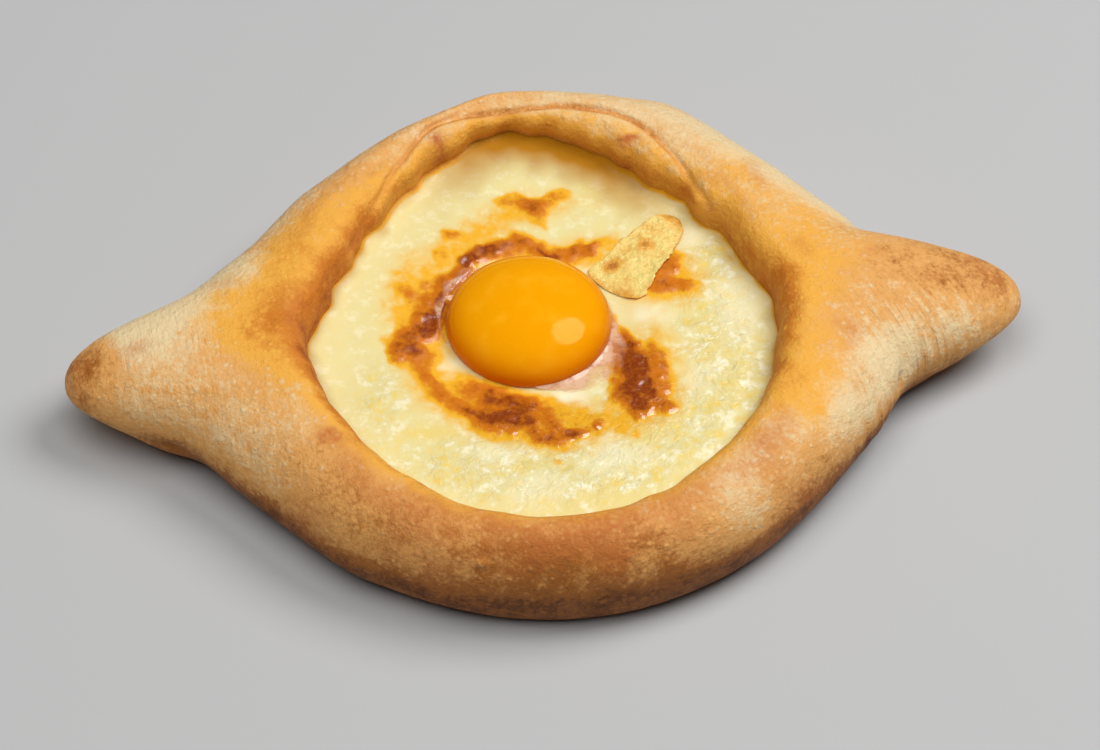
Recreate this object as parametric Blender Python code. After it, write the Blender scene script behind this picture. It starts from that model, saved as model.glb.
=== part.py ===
"""Khachapuri: a boat-shaped bread with a rolled rim, filled with cheese and an egg yolk.

The bread lies along X, its rim stands round an oval well, and its two ends are drawn out into
blunt horns that lift off the table. The origin is the middle of the flat underside.
"""

import math

import bmesh
import bpy

MM = 0.001

# Bread, outside
LENGTH = 244 * MM
HORN_FAR_HALF_WIDTH = 26 * MM
HORN_NEAR_HALF_WIDTH = 28 * MM
HORN_POWER = 2.2
HORN_BLEND = 12.0
WIDEST_HEIGHT_SIDE = 14.5 * MM
WIDEST_HEIGHT_TIP = 16.5 * MM

# Bread, flat underside
CONTACT_HALF_LENGTH = 92 * MM
CONTACT_HALF_WIDTH = 73 * MM
CONTACT_POWER = 0.9

# Bread in plan, as (degrees counterclockwise from the right horn, millimetres) stations
BELLY_MM = (
    (0, 76.0), (17, 87.0), (25, 84.6), (40, 82.3), (52, 84.0), (61, 86.4), (71, 83.2),
    (90, 81.2), (104, 78.4), (125, 77.7), (140, 79.6), (153, 81.8), (163, 88.4), (170, 90.5),
    (180, 80.0), (190, 89.0), (197, 91.6), (205, 87.9), (215, 85.2), (230, 83.8), (242, 82.2),
    (270, 81.8), (315, 82.0), (328, 84.0), (338, 88.0), (345, 88.6),
)
WELL_LIP_MM = (
    (0, 58.4), (15, 54.6), (35, 55.6), (57, 57.2), (74, 63.2), (92, 68.2), (107, 63.4),
    (127, 57.4), (145, 54.9), (163, 55.9), (180, 60.4), (212, 60.6), (230, 62.6), (248, 64.2),
    (270, 64.4), (297, 61.6), (325, 59.2), (345, 58.0),
)
CREST_INSET_MM = ((0, 7.5), (45, 7.4), (90, 5.2), (135, 6.8), (180, 7.5), (270, 7.0))
CREST_HEIGHT_MM = (
    (0, 33.0), (45, 32.2), (90, 30.6), (135, 32.0), (180, 33.0), (225, 31.0), (270, 30.0),
    (315, 31.0),
)
LIP_HEIGHT_MM = ((0, 23.0), (90, 24.5), (180, 23.0), (270, 22.0))
UNDERCUT_MM = ((0, 0.5), (45, 1.0), (90, 3.5), (135, 1.0), (180, 0.5), (270, 0.5))
WELL_FLOOR = 8 * MM

# Rolled edge: a shallow step that runs round the far side of the rim, its spread in degrees
ROLL_STEP = 1.2 * MM
ROLL_STEP_SPREAD = 60.0
ROLL_STEP_SHARE = 0.16

# How each cut is rounded: 2 is an ellipse, more is squarer
SIDE_LOWER_POWER = 2.2
TIP_LOWER_POWER = 1.4
INNER_EDGE_POWER = 0.9
TIP_SPREAD = 0.42

# Filling
CHEESE_LEVEL = 20.6 * MM
CHEESE_DIP = 1.6 * MM
CHEESE_DIP_REACH = 9 * MM

# Yolk
YOLK_CENTRE = (-4.3 * MM, 3.5 * MM)
YOLK_RADIUS = 21 * MM
YOLK_WIDEST_HEIGHT = 20.4 * MM
YOLK_DOME = 10.2 * MM
YOLK_DEPTH = 6 * MM

# Baked strip on the cheese
STRIP_START = (19.0 * MM, 11.4 * MM)
STRIP_END = (38.6 * MM, 33.4 * MM)
STRIP_HALF_WIDTH = 8 * MM
STRIP_THICKNESS = 1.4 * MM
STRIP_EDGE_LIFT = 1.1 * MM
STRIP_TAPER = 0.33

# Clearance that touching pieces keep, and the filling's to the well's wall
GAP = 0.35 * MM
WALL_GAP = 0.5 * MM

# Mesh steps
RAYS = 96
TIP_CROWDING = 0.55
LOWER_STEPS = 5
UPPER_STEPS = 8
INNER_STEPS = 5
WALL_STEPS = 3
CHEESE_STEPS = 6
YOLK_RAYS = 48
YOLK_DOME_STEPS = 7
YOLK_DEPTH_STEPS = 5
STRIP_STEPS = 14
STRIP_SIDE_STEPS = 6


def around(stations, angle):
    """Reads a smooth closed curve through (degrees, value) stations at an angle in radians."""
    count = len(stations)
    degrees = math.degrees(angle) % 360
    first = max(i for i in range(count) if stations[i][0] <= degrees)

    def station(index):
        turns, place = divmod(index, count)
        return stations[place][0] + 360 * turns, stations[place][1]

    (a0, v0), (a1, v1), (a2, v2), (a3, v3) = (station(first + k) for k in (-1, 0, 1, 2))
    span = a2 - a1
    slope1 = (v2 - v0) / (a2 - a0) * span
    slope2 = (v3 - v1) / (a3 - a1) * span
    u = (degrees - a1) / span
    return (
        v1 * (2 * u**3 - 3 * u**2 + 1)
        + slope1 * (u**3 - 2 * u**2 + u)
        + v2 * (3 * u**2 - 2 * u**3)
        + slope2 * (u**3 - u**2)
    )


def horn_radius(angle):
    """Distance from the middle to the long oval that makes the two horns."""
    half_width = HORN_NEAR_HALF_WIDTH if math.sin(angle) < 0 else HORN_FAR_HALF_WIDTH
    along = abs(math.cos(angle)) / (LENGTH / 2)
    across = abs(math.sin(angle)) / half_width
    return (along**HORN_POWER + across**HORN_POWER) ** (-1 / HORN_POWER)


def outline_radius(angle):
    """Distance from the middle to the widest outline: the belly running out into the horns."""
    belly = around(BELLY_MM, angle) * MM
    return (belly**HORN_BLEND + horn_radius(angle) ** HORN_BLEND) ** (1 / HORN_BLEND)


def contact_radius(angle):
    """Distance from the middle to the edge of the flat underside, a pointed oval."""
    low, high = 0.0, CONTACT_HALF_LENGTH
    for _ in range(40):
        radius = (low + high) / 2
        along = radius * abs(math.cos(angle)) / CONTACT_HALF_LENGTH
        half_width = CONTACT_HALF_WIDTH * math.cos(math.pi / 2 * along) ** CONTACT_POWER
        if radius * abs(math.sin(angle)) < half_width:
            low = radius
        else:
            high = radius
    return low


def ray_angles():
    """Angles of the rays round the bread, closer together at the two horns."""
    steps = [math.tau * i / RAYS for i in range(RAYS)]
    return [step - TIP_CROWDING * math.sin(2 * step) / 2 for step in steps]


def tipness(angle):
    """1 along the horns, 0 along the sides."""
    return math.exp(-((math.sin(angle) / TIP_SPREAD) ** 2))


def rolled_step(angle, share):
    """Depth of the rolled edge's step, at a share of the way from the crest to the outline."""
    off = (math.degrees(angle) + 90) % 360 - 180
    strength = math.exp(-((off / ROLL_STEP_SPREAD) ** 4))
    return ROLL_STEP * strength * math.exp(-((share / ROLL_STEP_SHARE) ** 2))


def section(angle):
    """One cut, as (radius, height) points from the underside over the rim to the well's floor."""
    outline = outline_radius(angle)
    contact = contact_radius(angle)
    lip = around(WELL_LIP_MM, angle) * MM
    crest = lip + around(CREST_INSET_MM, angle) * MM
    crest_height = around(CREST_HEIGHT_MM, angle) * MM
    lip_height = around(LIP_HEIGHT_MM, angle) * MM
    undercut = around(UNDERCUT_MM, angle) * MM
    tip = tipness(angle)
    widest = WIDEST_HEIGHT_SIDE + (WIDEST_HEIGHT_TIP - WIDEST_HEIGHT_SIDE) * tip
    lower_power = SIDE_LOWER_POWER + (TIP_LOWER_POWER - SIDE_LOWER_POWER) * tip

    points = []
    for i in range(LOWER_STEPS):
        turn = math.pi / 2 * i / LOWER_STEPS
        out = math.sin(turn) ** (2 / lower_power)
        up = 1 - math.cos(turn) ** (2 / lower_power)
        points.append((contact + (outline - contact) * out, widest * up))
    for i in range(UPPER_STEPS + 1):
        turn = math.pi / 2 * i / UPPER_STEPS
        share = math.cos(turn)
        height = widest + (crest_height - widest) * math.sin(turn) - rolled_step(angle, share)
        points.append((crest + (outline - crest) * share, height))
    for i in range(1, INNER_STEPS + 1):
        turn = math.pi / 2 * i / INNER_STEPS
        inward = math.sin(turn) ** INNER_EDGE_POWER
        level = math.cos(turn) ** INNER_EDGE_POWER
        height = lip_height + (crest_height - lip_height - rolled_step(angle, 0)) * level
        points.append((crest + (lip - crest) * inward, height))
    for i in range(1, WALL_STEPS + 1):
        share = i / WALL_STEPS
        radius = lip + undercut * math.sin(math.pi / 2 * share)
        points.append((radius, lip_height + (WELL_FLOOR - lip_height) * share))
    return points


def place(angle, radius, height, centre=(0.0, 0.0)):
    """The point at a radius and height along an angle."""
    return (
        centre[0] + radius * math.cos(angle),
        centre[1] + radius * math.sin(angle),
        height,
    )


def next_loop(loop, edges):
    """The verts that an extruded ring of edges left above each vert of the last loop."""
    fresh = {vert for edge in edges for vert in edge.verts}

    def above(vert):
        return next(edge.other_vert(vert) for edge in vert.link_edges if edge.other_vert(vert) in fresh)

    return [above(vert) for vert in loop]


def skin_of_rings(name, rings):
    """A closed body from a stack of rings of points: a circle extruded ring by ring, both ends capped."""
    shape = bmesh.new()
    bmesh.ops.create_circle(shape, segments=len(rings[0]), radius=1.0)
    loop = list(shape.verts)
    edges = list(shape.edges)
    for vert, point in zip(loop, rings[0]):
        vert.co = point
    bmesh.ops.contextual_create(shape, geom=edges)
    for ring in rings[1:]:
        old = set(loop)
        made = bmesh.ops.extrude_edge_only(shape, edges=edges)["geom"]
        edges = [item for item in made if isinstance(item, bmesh.types.BMEdge) and not old & set(item.verts)]
        loop = next_loop(loop, edges)
        for vert, point in zip(loop, ring):
            vert.co = point
    bmesh.ops.contextual_create(shape, geom=edges)
    bmesh.ops.recalc_face_normals(shape, faces=shape.faces)
    mesh = bpy.data.meshes.new(name)
    shape.to_mesh(mesh)
    shape.free()
    mesh.shade_smooth()
    piece = bpy.data.objects.new(name, mesh)
    bpy.context.scene.collection.objects.link(piece)
    return piece


def finish_with(piece, colour, roughness):
    """Gives a piece a material of its own."""
    material = bpy.data.materials.new(piece.name)
    material.use_nodes = True
    shader = material.node_tree.nodes["Principled BSDF"]
    shader.inputs["Base Color"].default_value = (*colour, 1.0)
    shader.inputs["Roughness"].default_value = roughness
    shader.inputs["Metallic"].default_value = 0.0
    piece.data.materials.append(material)


def cheese_height(x, y):
    """Top of the cheese: level, and dipping where the yolk sits."""
    away = math.hypot(x - YOLK_CENTRE[0], y - YOLK_CENTRE[1]) - YOLK_RADIUS
    return CHEESE_LEVEL - CHEESE_DIP * math.exp(-((max(away, 0.0) / CHEESE_DIP_REACH) ** 2))


def yolk_profile(steps_below, steps_above):
    """(radius, height) points of the yolk from its underside to its top, poles left out."""
    below = [math.pi / 2 * i / steps_below for i in range(1, steps_below + 1)]
    above = [math.pi / 2 * i / steps_above for i in range(1, steps_above)]
    points = [(math.sin(turn), -YOLK_DEPTH * math.cos(turn)) for turn in below]
    points += [(math.cos(turn), YOLK_DOME * math.sin(turn)) for turn in above]
    return [(YOLK_RADIUS * out, YOLK_WIDEST_HEIGHT + rise) for out, rise in points]


def make_crust():
    """The bread: rings from the flat underside, round the outline, over the rim and down the well."""
    sections = [(angle, section(angle)) for angle in ray_angles()]
    steps = len(sections[0][1])
    rings = [[place(angle, *points[k]) for angle, points in sections] for k in range(steps)]
    crust = skin_of_rings("crust", rings)
    finish_with(crust, (0.66, 0.40, 0.16), 0.6)
    return crust


def cheese_wall(angles):
    """Rings up the side of the filling, a gap inside the well's wall, and the ring where its top starts."""
    walls = [section(angle)[-WALL_STEPS - 1:] for angle in angles]
    rings = []
    for k in range(WALL_STEPS, 1, -1):
        lift = GAP if k == WALL_STEPS else 0
        rings.append([place(a, wall[k][0] - WALL_GAP, wall[k][1] + lift) for a, wall in zip(angles, walls)])
    top = []
    for angle, wall in zip(angles, walls):
        (lip, lip_height), (under, under_height) = wall[0], wall[1]
        height = cheese_height(lip * math.cos(angle), lip * math.sin(angle))
        share = (lip_height - height) / (lip_height - under_height)
        top.append(place(angle, lip + (under - lip) * share - WALL_GAP, height))
    rings.append(top)
    return rings


def make_cheese():
    """The filling: it stands on the well's floor, follows its wall and leaves a hollow for the yolk."""
    angles = ray_angles()
    rings = cheese_wall(angles)
    outer_ring = rings[-1]
    hollow = [(radius + GAP, height - GAP) for radius, height in yolk_profile(YOLK_DEPTH_STEPS, 1)]
    brim = hollow[-1][0] + GAP
    for k in range(1, CHEESE_STEPS + 1):
        share = k / CHEESE_STEPS
        ring = []
        for angle, outer in zip(angles, outer_ring):
            inner = place(angle, brim, 0, YOLK_CENTRE)
            x = outer[0] + (inner[0] - outer[0]) * share
            y = outer[1] + (inner[1] - outer[1]) * share
            ring.append((x, y, cheese_height(x, y)))
        rings.append(ring)
    for radius, height in reversed(hollow[:-1]):
        rings.append([place(angle, radius, height, YOLK_CENTRE) for angle in angles])
    cheese = skin_of_rings("cheese", rings)
    finish_with(cheese, (0.87, 0.70, 0.36), 0.35)
    return cheese


def make_yolk():
    """The whole yolk: a low dome over a shallower bowl that sits in the filling's hollow."""
    angles = [math.tau * i / YOLK_RAYS for i in range(YOLK_RAYS)]
    profile = yolk_profile(YOLK_DEPTH_STEPS, YOLK_DOME_STEPS)
    rings = [[place(angle, radius, height, YOLK_CENTRE) for angle in angles] for radius, height in profile]
    yolk = skin_of_rings("yolk", rings)
    finish_with(yolk, (0.87, 0.38, 0.01), 0.15)
    return yolk


def strip_half_width(share):
    """Half-width of the baked strip along its length: blunt at the yolk, rounded at its far end."""
    return STRIP_HALF_WIDTH * (1 - STRIP_TAPER * share) * (1 - (2 * share - 1) ** 6) ** 0.5


def strip_point(share, across, over):
    """A point of the strip: along it, across it from -1 to 1, and on its top or its underside."""
    dx = STRIP_END[0] - STRIP_START[0]
    dy = STRIP_END[1] - STRIP_START[1]
    out = strip_half_width(share) * across / math.hypot(dx, dy)
    x = STRIP_START[0] + dx * share - dy * out
    y = STRIP_START[1] + dy * share + dx * out
    height = cheese_height(x, y) + GAP + STRIP_EDGE_LIFT * across**4
    return x, y, height + (STRIP_THICKNESS if over else 0.0)


def make_strip():
    """A thin baked strip that lies on the cheese beside the yolk, its edges turned up."""
    across = [2 * k / (STRIP_SIDE_STEPS - 1) - 1 for k in range(STRIP_SIDE_STEPS)]
    rings = []
    for k in range(1, STRIP_STEPS):
        share = k / STRIP_STEPS
        top = [strip_point(share, side, True) for side in across]
        underside = [strip_point(share, side, False) for side in reversed(across)]
        rings.append(top + underside)
    strip = skin_of_rings("baked_strip", rings)
    finish_with(strip, (0.80, 0.52, 0.20), 0.45)
    return strip


def clear_scene():
    """Removes what a new scene starts with."""
    for old in list(bpy.data.objects):
        bpy.data.objects.remove(old, do_unlink=True)


def main():
    clear_scene()
    make_crust()
    make_cheese()
    make_yolk()
    make_strip()


if __name__ == "__main__":
    main()
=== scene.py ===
"""Khachapuri: a boat of baked dough with a rolled rim, filled with browned cheese and an egg yolk.

The bread lies along X with its horns at the two ends, its far side is towards +Y, and the origin
is the middle of its flat underside. Sizes are in metres, and the tables in millimetres.
"""

import math

import bmesh
import bpy
import numpy as np
from bpy.props import FloatProperty, FloatVectorProperty, PointerProperty
from mathutils import Euler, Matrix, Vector, noise


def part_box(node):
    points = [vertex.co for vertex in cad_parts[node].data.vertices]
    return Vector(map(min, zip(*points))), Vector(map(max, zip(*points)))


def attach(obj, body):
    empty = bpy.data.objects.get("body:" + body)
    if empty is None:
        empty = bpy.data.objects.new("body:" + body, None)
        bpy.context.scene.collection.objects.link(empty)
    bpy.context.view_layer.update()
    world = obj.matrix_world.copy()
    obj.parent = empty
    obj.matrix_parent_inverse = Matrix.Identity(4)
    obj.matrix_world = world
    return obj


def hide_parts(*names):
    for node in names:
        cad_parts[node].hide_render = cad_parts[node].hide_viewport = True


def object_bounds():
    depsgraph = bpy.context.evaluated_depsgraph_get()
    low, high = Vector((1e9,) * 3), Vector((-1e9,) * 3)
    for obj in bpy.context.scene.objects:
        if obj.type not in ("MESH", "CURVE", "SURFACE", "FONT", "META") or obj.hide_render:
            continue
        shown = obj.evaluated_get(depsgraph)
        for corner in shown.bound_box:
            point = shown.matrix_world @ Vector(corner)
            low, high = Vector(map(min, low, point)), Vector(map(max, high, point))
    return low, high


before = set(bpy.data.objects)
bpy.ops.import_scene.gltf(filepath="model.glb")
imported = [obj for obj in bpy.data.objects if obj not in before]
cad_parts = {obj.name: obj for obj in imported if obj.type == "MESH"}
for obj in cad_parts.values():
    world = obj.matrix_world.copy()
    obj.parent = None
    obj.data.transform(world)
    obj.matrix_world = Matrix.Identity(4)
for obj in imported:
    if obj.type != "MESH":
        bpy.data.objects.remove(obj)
CAD_BOX = [list(corner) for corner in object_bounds()]

bl_info = {
    "name": "Khachapuri",
    "version": (1, 0, 0),
    "blender": (4, 5, 0),
    "location": "3D View > Sidebar > Khachapuri",
    "description": "Builds a boat-shaped cheese bread with an egg yolk, and a plain studio round it",
    "category": "Add Mesh",
}

MM = 0.001
LENGTH = CAD_BOX[1][0] - CAD_BOX[0][0]
YOLK_LOW, YOLK_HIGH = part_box("yolk")
YOLK_CENTRE = (YOLK_LOW + YOLK_HIGH) / 2
YOLK_RADIUS = (YOLK_HIGH.x - YOLK_LOW.x) / 2

# Bread in plan, as (degrees counterclockwise from the right horn, millimetres) stations
BELLY_MM = (
    (0, 76.0), (17, 87.0), (25, 84.6), (40, 82.3), (52, 84.0), (61, 86.4), (71, 83.2),
    (90, 81.2), (104, 78.4), (125, 77.7), (140, 79.6), (153, 81.8), (163, 88.4), (170, 90.5),
    (180, 80.0), (190, 89.0), (197, 91.6), (205, 87.9), (215, 85.2), (230, 83.8), (242, 82.2),
    (270, 81.8), (315, 82.0), (328, 84.0), (338, 88.0), (345, 88.6),
)
WELL_LIP_MM = (
    (0, 58.4), (15, 54.6), (35, 55.6), (57, 57.2), (74, 63.2), (92, 68.2), (107, 63.4),
    (127, 57.4), (145, 54.9), (163, 55.9), (180, 60.4), (212, 60.6), (230, 62.6), (248, 64.2),
    (270, 64.4), (297, 61.6), (325, 59.2), (345, 58.0),
)
CREST_INSET_MM = ((0, 7.5), (45, 7.4), (90, 5.2), (135, 6.8), (180, 7.5), (270, 7.0))
CREST_HEIGHT_MM = (
    (0, 33.0), (45, 32.2), (90, 30.6), (135, 32.0), (180, 33.0), (225, 31.0), (270, 30.0),
    (315, 31.0),
)
LIP_HEIGHT_MM = ((0, 23.0), (90, 24.5), (180, 23.0), (270, 22.0))
UNDERCUT_MM = ((0, 0.5), (45, 1.0), (90, 3.5), (135, 1.0), (180, 0.5), (270, 0.5))
ROLL_CREASE_MM = (
    (3, 57.0), (18, 52.6), (38, 55.8), (52, 61.6), (62, 66.9), (72, 69.2), (90, 69.9),
    (108, 69.0), (120, 62.4), (139, 55.8), (167, 55.0), (186, 63.3),
)
# Strength of the butter-brown band along the well's lip
GLAZED_LIP = (
    (0, 0.74), (20, 0.44), (42, 0.30), (60, 0.20), (90, 0.04), (120, 0.24), (142, 0.62),
    (165, 0.95), (182, 1.05), (200, 1.0), (214, 0.72), (232, 0.52), (270, 0.46), (312, 0.46),
    (334, 0.66), (348, 0.74),
)

# Bread, cut across
HORN_FAR_HALF_WIDTH = 26 * MM
HORN_NEAR_HALF_WIDTH = 28 * MM
HORN_POWER = 2.2
HORN_BLEND = 12.0
WIDEST_HEIGHT_SIDE = 14.5 * MM
WIDEST_HEIGHT_TIP = 16.5 * MM
CONTACT_HALF_LENGTH = 92 * MM
CONTACT_HALF_WIDTH = 73 * MM
CONTACT_POWER = 0.9
CONTACT_HALVINGS = 40
WELL_FLOOR = 8 * MM
ROLL_STEP = 1.2 * MM
ROLL_STEP_SPREAD = 60.0
ROLL_STEP_SHARE = 0.16
SIDE_LOWER_POWER = 2.2
TIP_LOWER_POWER = 1.4
INNER_EDGE_POWER = 0.9
TIP_SPREAD = 0.42
TIP_CROWDING = 0.55
LIP_WAVER = 2.1 * MM
LIP_WAVER_NEAR_SHARE = 0.42
LIP_WAVER_CIRCLE = 60 * MM
OVAL_FULL = 1.3
OVAL_EDGE_POWER = 1.3

# Rings of the crust's skin
CRUST_RAYS = 720
UNDERSIDE_RINGS = 12
LOWER_RINGS = 22
UPPER_RINGS = 58
INNER_RINGS = 26
WALL_RINGS = 5
FLOOR_RINGS = 2

# Soft noise, in layers of (strength, size in millimetres, shift)
LIP_LAYERS = ((0.8, 13, 17.0), (1.0, 6.5, 19.0))
LUMP_LAYERS = ((1.0, 30, 3.1), (0.45, 12, 7.7))
PORE_LAYERS = ((1.0, 3.4, 1.3), (0.6, 1.8, 5.9))
CREASE_LAYERS = ((0.9, 16, 23.0),)
ROLL_LAYERS = ((0.8, 7, 25.0),)
BAKE_WANDER_X = ((3.0, 11, 21.0), (1.2, 4, 23.0))
BAKE_WANDER_Y = ((3.0, 11, 31.0), (1.2, 4, 33.0))
NEAR_SIDE_LAYERS = ((0.30, 14, 43.0),)
FAR_SIDE_LAYERS = ((0.22, 17, 47.0),)
UNDERSIDE_LAYERS = ((0.25, 16, 41.0),)
GLAZE_LAYERS = ((0.35, 6, 45.0),)
CHEESE_WANDER_X = ((1.5, 6, 51.0), (0.9, 2.6, 53.0))
CHEESE_WANDER_Y = ((1.5, 6, 55.0), (0.9, 2.6, 57.0))
HALO_LAYERS = ((0.5, 3.2, 59.0),)
CAUGHT_LAYERS = ((0.22, 2.2, 67.0),)
OIL_LAYERS = ((0.6, 5, 61.0),)
WALL_EDGE_LAYERS = ((0.5, 5, 65.0),)
CREAM_WANDER_X = ((2.0, 5, 63.0),)
CREAM_WANDER_Y = ((2.0, 5, 64.0),)
CHEESE_SWELL_LAYERS = ((0.55, 17, 71.0), (0.16, 6, 73.0))
CURD_LAYERS = ((0.28, 3.0, 75.0), (0.14, 1.5, 77.0))
BUBBLE_LAYERS = ((0.40, 3.4, 79.0),)
YOLK_LAYERS = ((0.35, 22, 81.0), (0.08, 7, 83.0))
FILM_LAYERS = ((0.20, 4, 91.0),)
CRUMPLE_LAYERS = ((0.40, 4.0, 101.0), (0.20, 1.6, 103.0))
STRIP_TONE_LAYERS = ((0.18, 4, 105.0),)

# Lines drawn out in the dough: (depth, turn in degrees, width, length, shift), in millimetres
RIGHT_NECK_LINES = ((0.62, -62, 2.4, 13, 13.0), (0.24, -62, 1.2, 10, 15.0))
LEFT_NECK_LINES = ((0.09, 88, 1.6, 16, 17.0),)
TUCK_LINES = ((0.75, 66, 4.2, 22, 19.0),)
LINE_BEND = 1.4 * MM
LINE_BEND_SIZE = 12 * MM
# Lines in the crust's colour and bump: (mask, turn in degrees, width)
STRETCHES = (("stretch_right", -60, 1.5 * MM), ("stretch_left", 92, 1.0 * MM))
STRETCH_LENGTH = 14 * MM

# Where the dough's features begin and end, in millimetres or as the sine of the angle round it
RIGHT_NECK_X, RIGHT_NECK_Y = (66, 82, 104, 116), (-14, 2)
LEFT_NECK_X = (-92, -74)
TUCK_X, TUCK_LENGTH, TUCK_Y = -84, 13, (-14, -30)
LOBE_DEPTH = 3.0 * MM
LOBE_MM = ((-100, 9), (-19, 8), (6, 6))
CREASE_DEPTH, CREASE_HALF_WIDTH = 0.95 * MM, 0.9
ROLL_HEIGHT, ROLL_END, ROLL_SWELL = 0.7 * MM, 1.25, 3.2
ROLL_SIDE, ROLL_Z = (-0.15, 0.25), (24, 27)
TIP_RELIEF_SHARE = 0.55
LIP_RELIEF_SHARE, WALL_RELIEF_SHARE = 0.5, 0.25
LIP_FAR_SIDE = (0.1, 0.8)

# Folds in the dough: (depth, half-width, path of x, y, z), all in millimetres
FOLDS_MM = (
    (1.8, 1.6, ((-111, -6, 13), (-106, -12, 12), (-101, -17, 12), (-95.5, -20.5, 12), (-91, -25, 8))),
    (1.9, 1.5, ((86.2, -17, 24), (86.0, -24, 20), (87.0, -30, 15), (86.5, -37, 8))),
    (0.9, 1.3, ((-77, 33, 24), (-74.2, 30.8, 28), (-69.6, 27.8, 30.5), (-62.5, 21.4, 31.5))),
    (0.5, 1.6, ((60, -13, 32), (67, -19, 31), (74, -19, 30), (80, -15, 29))),
    (0.5, 2.2, ((66, -36, 27), (73, -33, 25), (78, -27, 23))),
    (-0.9, 1.0, ((-25.8, -75.4, 24.3), (-25.2, -75.4, 24.3))),
    (-0.8, 0.8, ((-38.5, -49.6, 22.5), (-36.2, -51.8, 22.5))),
    (-0.9, 0.9, ((-6, -64.6, 22), (-3, -64.2, 22), (-1.6, -62.8, 22))),
    (-1.0, 0.9, ((9.4, -63.6, 22), (11.4, -63.2, 22.5), (13.6, -63.4, 23))),
)

# Colour of the bake: (x, y, half-length, half-width, turn in degrees, strength), millimetres
GOLDEN_MM = (
    (-66, 0, 18, 28, 0, 0.26), (-57, 31, 10, 20, -38, 0.16), (-42, 48, 18, 9, 38, 0.34),
    (68, -4, 17, 26, 0, 0.20), (62, 26, 12, 24, 24, 0.10), (47, 46, 18, 8, -42, 0.08),
    (-20, 72, 28, 8, 16, 0.22), (14, 74, 24, 7, 0, 0.06), (-56, -44, 20, 12, -42, 0.12),
    (-28, -67, 30, 10, -20, 0.44), (-6, -76, 22, 7, 0, 0.26), (14, -73, 22, 7, 10, 0.24),
    (-56, -52, 14, 8, -48, 0.20), (-117, -1, 9, 13, 0, 0.62), (114, 1, 9, 11, 0, 0.36),
    (96, 3, 18, 14, 0, 0.38), (-60, -60, 18, 13, -40, 0.08), (62, -60, 18, 13, 40, 0.32),
    (0, -79, 62, 8, 0, 0.32), (-90, -14, 18, 12, 0, 0.12),
)
GLAZED_MM = (
    (-66, 1, 8, 18, 0, 0.44), (-75, 4, 12, 14, 0, 0.38), (-60, 28, 8, 15, -36, 0.36),
    (66, -8, 9, 18, 0, 0.20), (72, 10, 11, 16, 20, 0.18), (62, 26, 10, 20, 26, 0.14),
    (50, 42, 12, 7, -46, 0.10), (-45, 42, 12, 5, 38, 0.14), (60, -34, 8, 12, -20, 0.36),
)
REDDENED_MM = (
    (-58.5, -38.6, 3.2, 2.6, 0, 0.75), (-103.7, -0.3, 3.4, 2.2, 0, 0.50),
    (-27, -66, 14, 4.6, -22, 0.50), (-6.5, -71.5, 16, 5.6, -4, 0.55), (14, -69, 14, 5.6, 10, 0.50),
    (31, -62, 12, 4.6, 26, 0.30), (-44, -57, 10, 5, -38, 0.52), (-54, -46, 8, 4.4, -60, 0.44),
    (46, -54, 6, 8, -20, 0.50), (57, -62, 5, 4, 0, 0.44), (-118.4, -3.1, 4, 6, 0, 0.30),
    (113.5, 1.5, 4, 5, 0, 0.34),
    (74.2, -18.4, 3, 3.4, 0, 0.36), (-63, 3, 3.0, 9, 0, 0.30), (61, -12, 2.0, 10, 0, 0.16),
    (51, 32, 2, 12, 22, 0.26), (27.5, 53.5, 3.0, 2, -20, 0.95), (-20.4, 60.5, 3.0, 2.4, 20, 0.95),
    (-57, 36, 3.2, 12, -40, 0.30), (-36, -76, 5, 7, 20, 0.34), (-66, -52, 5, 6, 0, 0.30),
    (60, 37, 3, 5, 20, 0.28), (39, -59, 4, 3, 0, 0.20), (-13, -76, 7, 3, 0, 0.34),
    (6, -77, 8, 3, 0, 0.34), (24, -73, 5, 4, 0, 0.36), (-25, -74, 5, 3, 0, 0.30),
    (52, -46, 3, 5, -30, 0.34), (83, 6, 3, 2.4, 0, 0.24), (11.6, -63.2, 1.8, 1.0, 0, 0.9),
    (-3.6, -64.8, 1.6, 1.0, 0, 0.9), (-37.4, -51.4, 1.4, 1.2, 0, 0.9), (-40, -66, 9, 5, -30, 0.34),
    (0, -72, 7, 4, 0, 0.26), (-80, 17, 3.4, 2.2, 0, 0.30), (66, 10, 2.4, 4, 0, 0.28),
    (97, -2, 3, 2.2, 0, 0.20),
)
PALE_MM = (
    (-94, 10, 18, 7, 0, 0.42), (-82, 22, 12, 8, -30, 0.40), (84, -26, 9, 10, 0, 0.34),
    (72, -42, 11, 10, 45, 0.22), (60, 48, 18, 9, -40, 0.30), (78, 27, 14, 7, -20, 0.26),
    (-102, 4, 8, 8, 0, 0.20), (100, -14, 14, 6, 20, 0.10), (20, 78, 20, 5, -8, 0.14),
    (-46, -56, 5, 4, 0, 0.10), (38, -67, 8, 5, 30, 0.08), (56, -50, 6, 6, 0, 0.08),
    (64, -40, 6, 6, 0, 0.16),
)

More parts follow.
